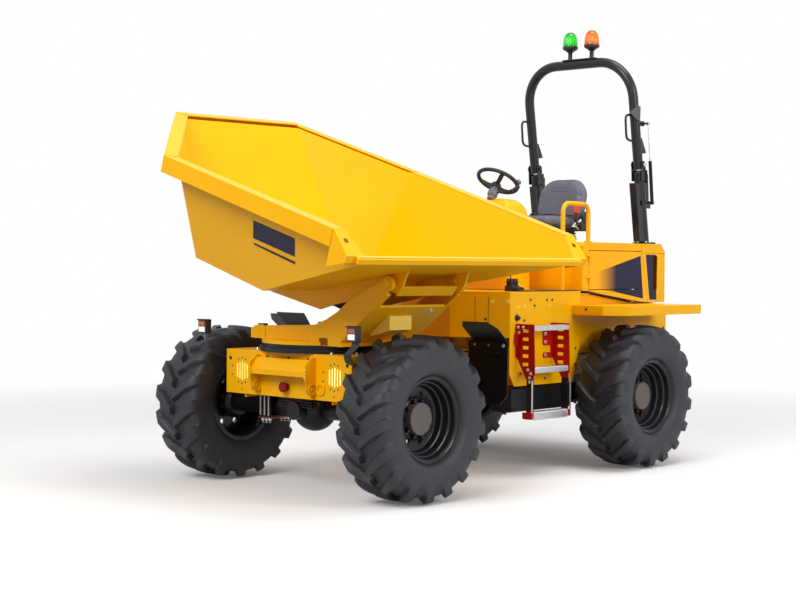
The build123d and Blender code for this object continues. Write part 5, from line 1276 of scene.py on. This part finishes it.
bolts("ladder_tab_bolts", [at(x, 0.6285, z) for x, z in ((-1.753, 1.018), (-1.753, 0.958), (-1.753, 0.863))],
      (0, 1, 0), "rear_half", ZINC, 0.012, 0.009)
cheek_bolts = [at(-1.3998, y, z) for y,
               z in ((0.645, 1.078), (0.690, 1.078), (0.655, 1.040), (0.760, 0.750), (0.735, 0.775),
                     (0.752, 0.720), (0.752, 0.690))]
bolts("ladder_cheek_bolts", cheek_bolts, (1, 0, 0), "rear_half", ZINC, 0.010, 0.007)
rear_cheek = [at(-1.8618, y, z) for y, z in ((0.645, 1.085), (0.752, 0.720), (0.752, 0.690), (0.735, 0.450))]
bolts("ladder_rear_bolts", rear_cheek, (1, 0, 0), "rear_half", ZINC, 0.010, 0.007)
feet = [placed(brick((x, 0.694, 0.422), (x + 0.020, 0.778, 0.470))) for x in (-1.872, -1.412)]
piece("ladder_feet", joined(feet), "rear_half", RED, bevel=0.004)

# %% Body side
dark = [(-1.578, 1.271), (-1.775, 1.268), (-1.841, 1.268), (-1.627, 1.227), (-1.501, 1.122), (-1.760, 0.692),
        (-1.465, 0.740), (-2.12, 1.16),
        (-2.14, 0.90), (-2.14, 0.78)]
for hand, side in ((1, "left"), (-1, "right")):
    bolts("body_bolts_" + side, [at(x, hand * 0.6203, z) for x, z in dark], (0, hand, 0), "rear_half", IRON,
          0.0085, 0.005)
    pale = [at(x, hand * 0.6203, z) for x, z in ((-1.806, 1.221), (-1.507, 1.225), (-1.43, 1.22))]
    spots("body_plugs_" + side, pale, (0, hand, 0), "rear_half", PALE, 0.012, 0.003)
    nose_out = np.array([0.885, hand * 0.466, 0.0])
    nose = [at(x, hand * y, z) + nose_out * 0.0004 for x, y,
            z in ((-1.275, 0.506, 1.260), (-1.329, 0.608, 1.261))]
    spots("nose_plugs_" + side, nose, nose_out, "rear_half", PALE, 0.014, 0.004)
    bolts("nose_bolt_" + side, [at(-1.253, hand * 0.463, 1.132) + nose_out * 0.0004], nose_out, "rear_half",
          IRON, 0.008, 0.005)
    latch = turned([(0, 0.026), (0.012, 0.026), (0.015, 0.020), (0.015, 0.006), (0.024, 0.004), (0.026, 0.0),
                    (0, 0)], 24)
    piece("body_latch_" + side, aim(latch, at(-1.417, hand * 0.6203, 1.143), (0, hand, 0)), "rear_half", IRON)
    lines = []
    for x, y in ((-1.217, 0.396), (-1.262, 0.482)):
        lines.append(aim(brick((-0.135, -0.0014, 0.0), (0.155, 0.0014, 0.0008)),
                         at(x, hand * y, 1.14) + nose_out * 0.0003, nose_out, (0, 0, 1)))
    piece("nose_seams_" + side, joined(lines), "rear_half", SHADED_YELLOW)

# %% [markdown]
# The edging is a rubber strip whose radius ripples along its length, and the valve block is a cluster of
# turned fittings on a small body, with a thin lever standing on it.

# %% Edging and valve block
trim_line = rounded([(-1.486, 0.560, 1.3345), (-1.56, 0.604, 1.3345), (-2.12, 0.613, 1.3345),
                     (-2.262, 0.6075, 1.326), (-2.62, 0.6065, 1.283),
                     (-3.00, 0.6065, 1.2365), (-3.18, 0.6065, 1.2245)], 0.03)
steps = np.linspace(0, 1, 260)
stretch = np.concatenate([[0], np.cumsum(np.linalg.norm(np.diff(trim_line, axis=0), axis=1))])
even = np.stack([np.interp(steps * stretch[-1], stretch, trim_line[:, k]) for k in range(3)], -1)
ripple = 0.0052 + 0.0012 * np.cos(steps * stretch[-1] / 0.030 * 2 * np.pi)
piece("footplate_edging", joined([tube(shift(facing(even, hand)), ripple, 10) for hand in (1, -1)]),
      "rear_half", RUBBER, smooth=60)
fitting = turned([(0, 0.052), (0.009, 0.052), (0.009, 0.036), (0.014, 0.034), (0.014, 0.022), (0.011, 0.020),
                  (0.011, 0.0), (0, 0)], 14)
valve = [placed(brick((-1.575, 0.452, 1.3305), (-1.485, 0.522, 1.372)))]
for x, y in ((-1.560, 0.470), (-1.530, 0.470), (-1.500, 0.470), (-1.560, 0.503), (-1.530, 0.503),
             (-1.500, 0.503)):
    valve.append(aim(fitting, at(x, y, 1.371), (0, 0, 1)))
for x in (-1.555, -1.528, -1.500):
    valve.append(aim(fitting, at(x, 0.521, 1.350), (0, 1, 0)))
valve.append(tube([at(-1.516, 0.487, 1.370), at(-1.508, 0.487, 1.462)], 0.0045, 10))
piece("control_valves", joined(valve), "rear_half", RUBBER, bevel=0.0012)

# %% Fender and rear bolts
fender_bolts = [at(-2.0898, hand * 0.748, 1.196) for hand in (1, -1)]
bolts("fender_bolts", fender_bolts, (1, 0, 0), "rear_half", IRON, 0.008, 0.005)
arch = [(-2.145, 0.860), (-3.440, 0.860), (-3.440, 1.186), (-2.145, 1.186)]
piece("arch_panels", joined([placed(side_plate(arch, hand * 0.592, hand * 0.584)) for hand in (1, -1)]),
      "rear_half", YELLOW, bevel=0.002)
arch_heads = [at(x, hand * 0.5925, z) for hand in (1, -1) for x,
              z in ((-3.36, 1.15), (-3.40, 1.02), (-3.16, 1.15), (-2.95, 1.15))]
bolts("arch_bolts_left", arch_heads[:4], (0, 1, 0), "rear_half", IRON, 0.010, 0.006)
bolts("arch_bolts_right", arch_heads[4:], (0, -1, 0), "rear_half", IRON, 0.010, 0.006)

# %% [markdown]
# ## The stage, last
# The floor and the sky look white to the camera and in reflections, while the machine itself gets a plain,
# softer light: the Light Path node tells the two uses apart. Near the machine the floor is real and keeps the
# shadow, and further out it fades into the sky. Three large soft lamps light it: from the front, from above
# and from the left.

# %% Floor, sky and lamps
FLOOR_LIFT, SKY_LIGHT = 0.08, 0.42


def seen(tree):
    """1 for rays from the camera, mirrors and glass, 0 for rays that only carry light."""
    path = tree.nodes.new("ShaderNodeLightPath")
    rays = [Term(tree, path.outputs[name])
            for name in ("Is Camera Ray", "Is Glossy Ray", "Is Transmission Ray")]
    return rays[0].at_least(rays[1]).at_least(rays[2])


span = 60.0
floor_mesh = bpy.data.meshes.new("floor")
floor_mesh.from_pydata([(-span, -span, -0.001), (span, -span, -0.001), (span, span, -0.001),
                        (-span, span, -0.001)], [], [(0, 1, 2, 3)])
floor = bpy.data.objects.new("floor", floor_mesh)
bpy.context.scene.collection.objects.link(floor)
ground = Finish("studio floor", Roughness=0.8, Specular_IOR_Level=0.0, Emission_Strength=1.0)
looks = seen(ground.tree)
ground.set(Base_Color=ground.blend(looks, (0.34, 0.34, 0.34, 1), (0.90, 0.90, 0.90, 1)))
ground.set(Emission_Color=ground.blend(looks, (0, 0, 0, 1), (FLOOR_LIFT, FLOOR_LIFT, FLOOR_LIFT, 1)))
spread = ground.node("ShaderNodeVectorMath", {"operation": "LENGTH"}, out=1, Vector=ground.where())
white = ground.tree.nodes.new("ShaderNodeEmission")
fade = ground.tree.nodes.new("ShaderNodeMixShader")
feed(ground.tree, fade.inputs[0], ramp(spread, 4.2, 9.0) * looks)
ground.tree.links.new(ground.shader.outputs[0], fade.inputs[1])
ground.tree.links.new(white.outputs[0], fade.inputs[2])
ground.tree.links.new(fade.outputs[0], ground.tree.nodes["Material Output"].inputs[0])
floor_mesh.materials.append(ground.material)

world = bpy.data.worlds.new("studio")
bpy.context.scene.world = world
world.use_nodes = True
sky = world.node_tree.nodes["Background"]
sky.inputs["Color"].default_value = (1, 1, 1, 1)
feed(world.node_tree, sky.inputs["Strength"], seen(world.node_tree) * (1.0 - SKY_LIGHT) + SKY_LIGHT)


def softbox(name, place, target, size, power):
    """A square lamp that looks at a target."""
    lamp = bpy.data.lights.new(name, "AREA")
    lamp.shape, lamp.size, lamp.energy = "SQUARE", size, power
    thing = bpy.data.objects.new(name, lamp)
    aimed = (Vector(target) - Vector(place)).to_track_quat("-Z", "Y").to_matrix().to_4x4()
    thing.matrix_world = Matrix.Translation(Vector(place)) @ aimed
    bpy.context.scene.collection.objects.link(thing)
    return thing


softbox("key", (9.0, 1.0, 7.0), (0.3, 0.2, 1.0), 4.5, 600)
softbox("top", (-0.5, 2.0, 9.5), (0.0, 0.0, 1.0), 5.0, 460)
softbox("side", (-1.0, 9.5, 4.5), (-1.0, 0.0, 1.2), 4.0, 380)

# %% Update the scene
bpy.context.view_layer.update()
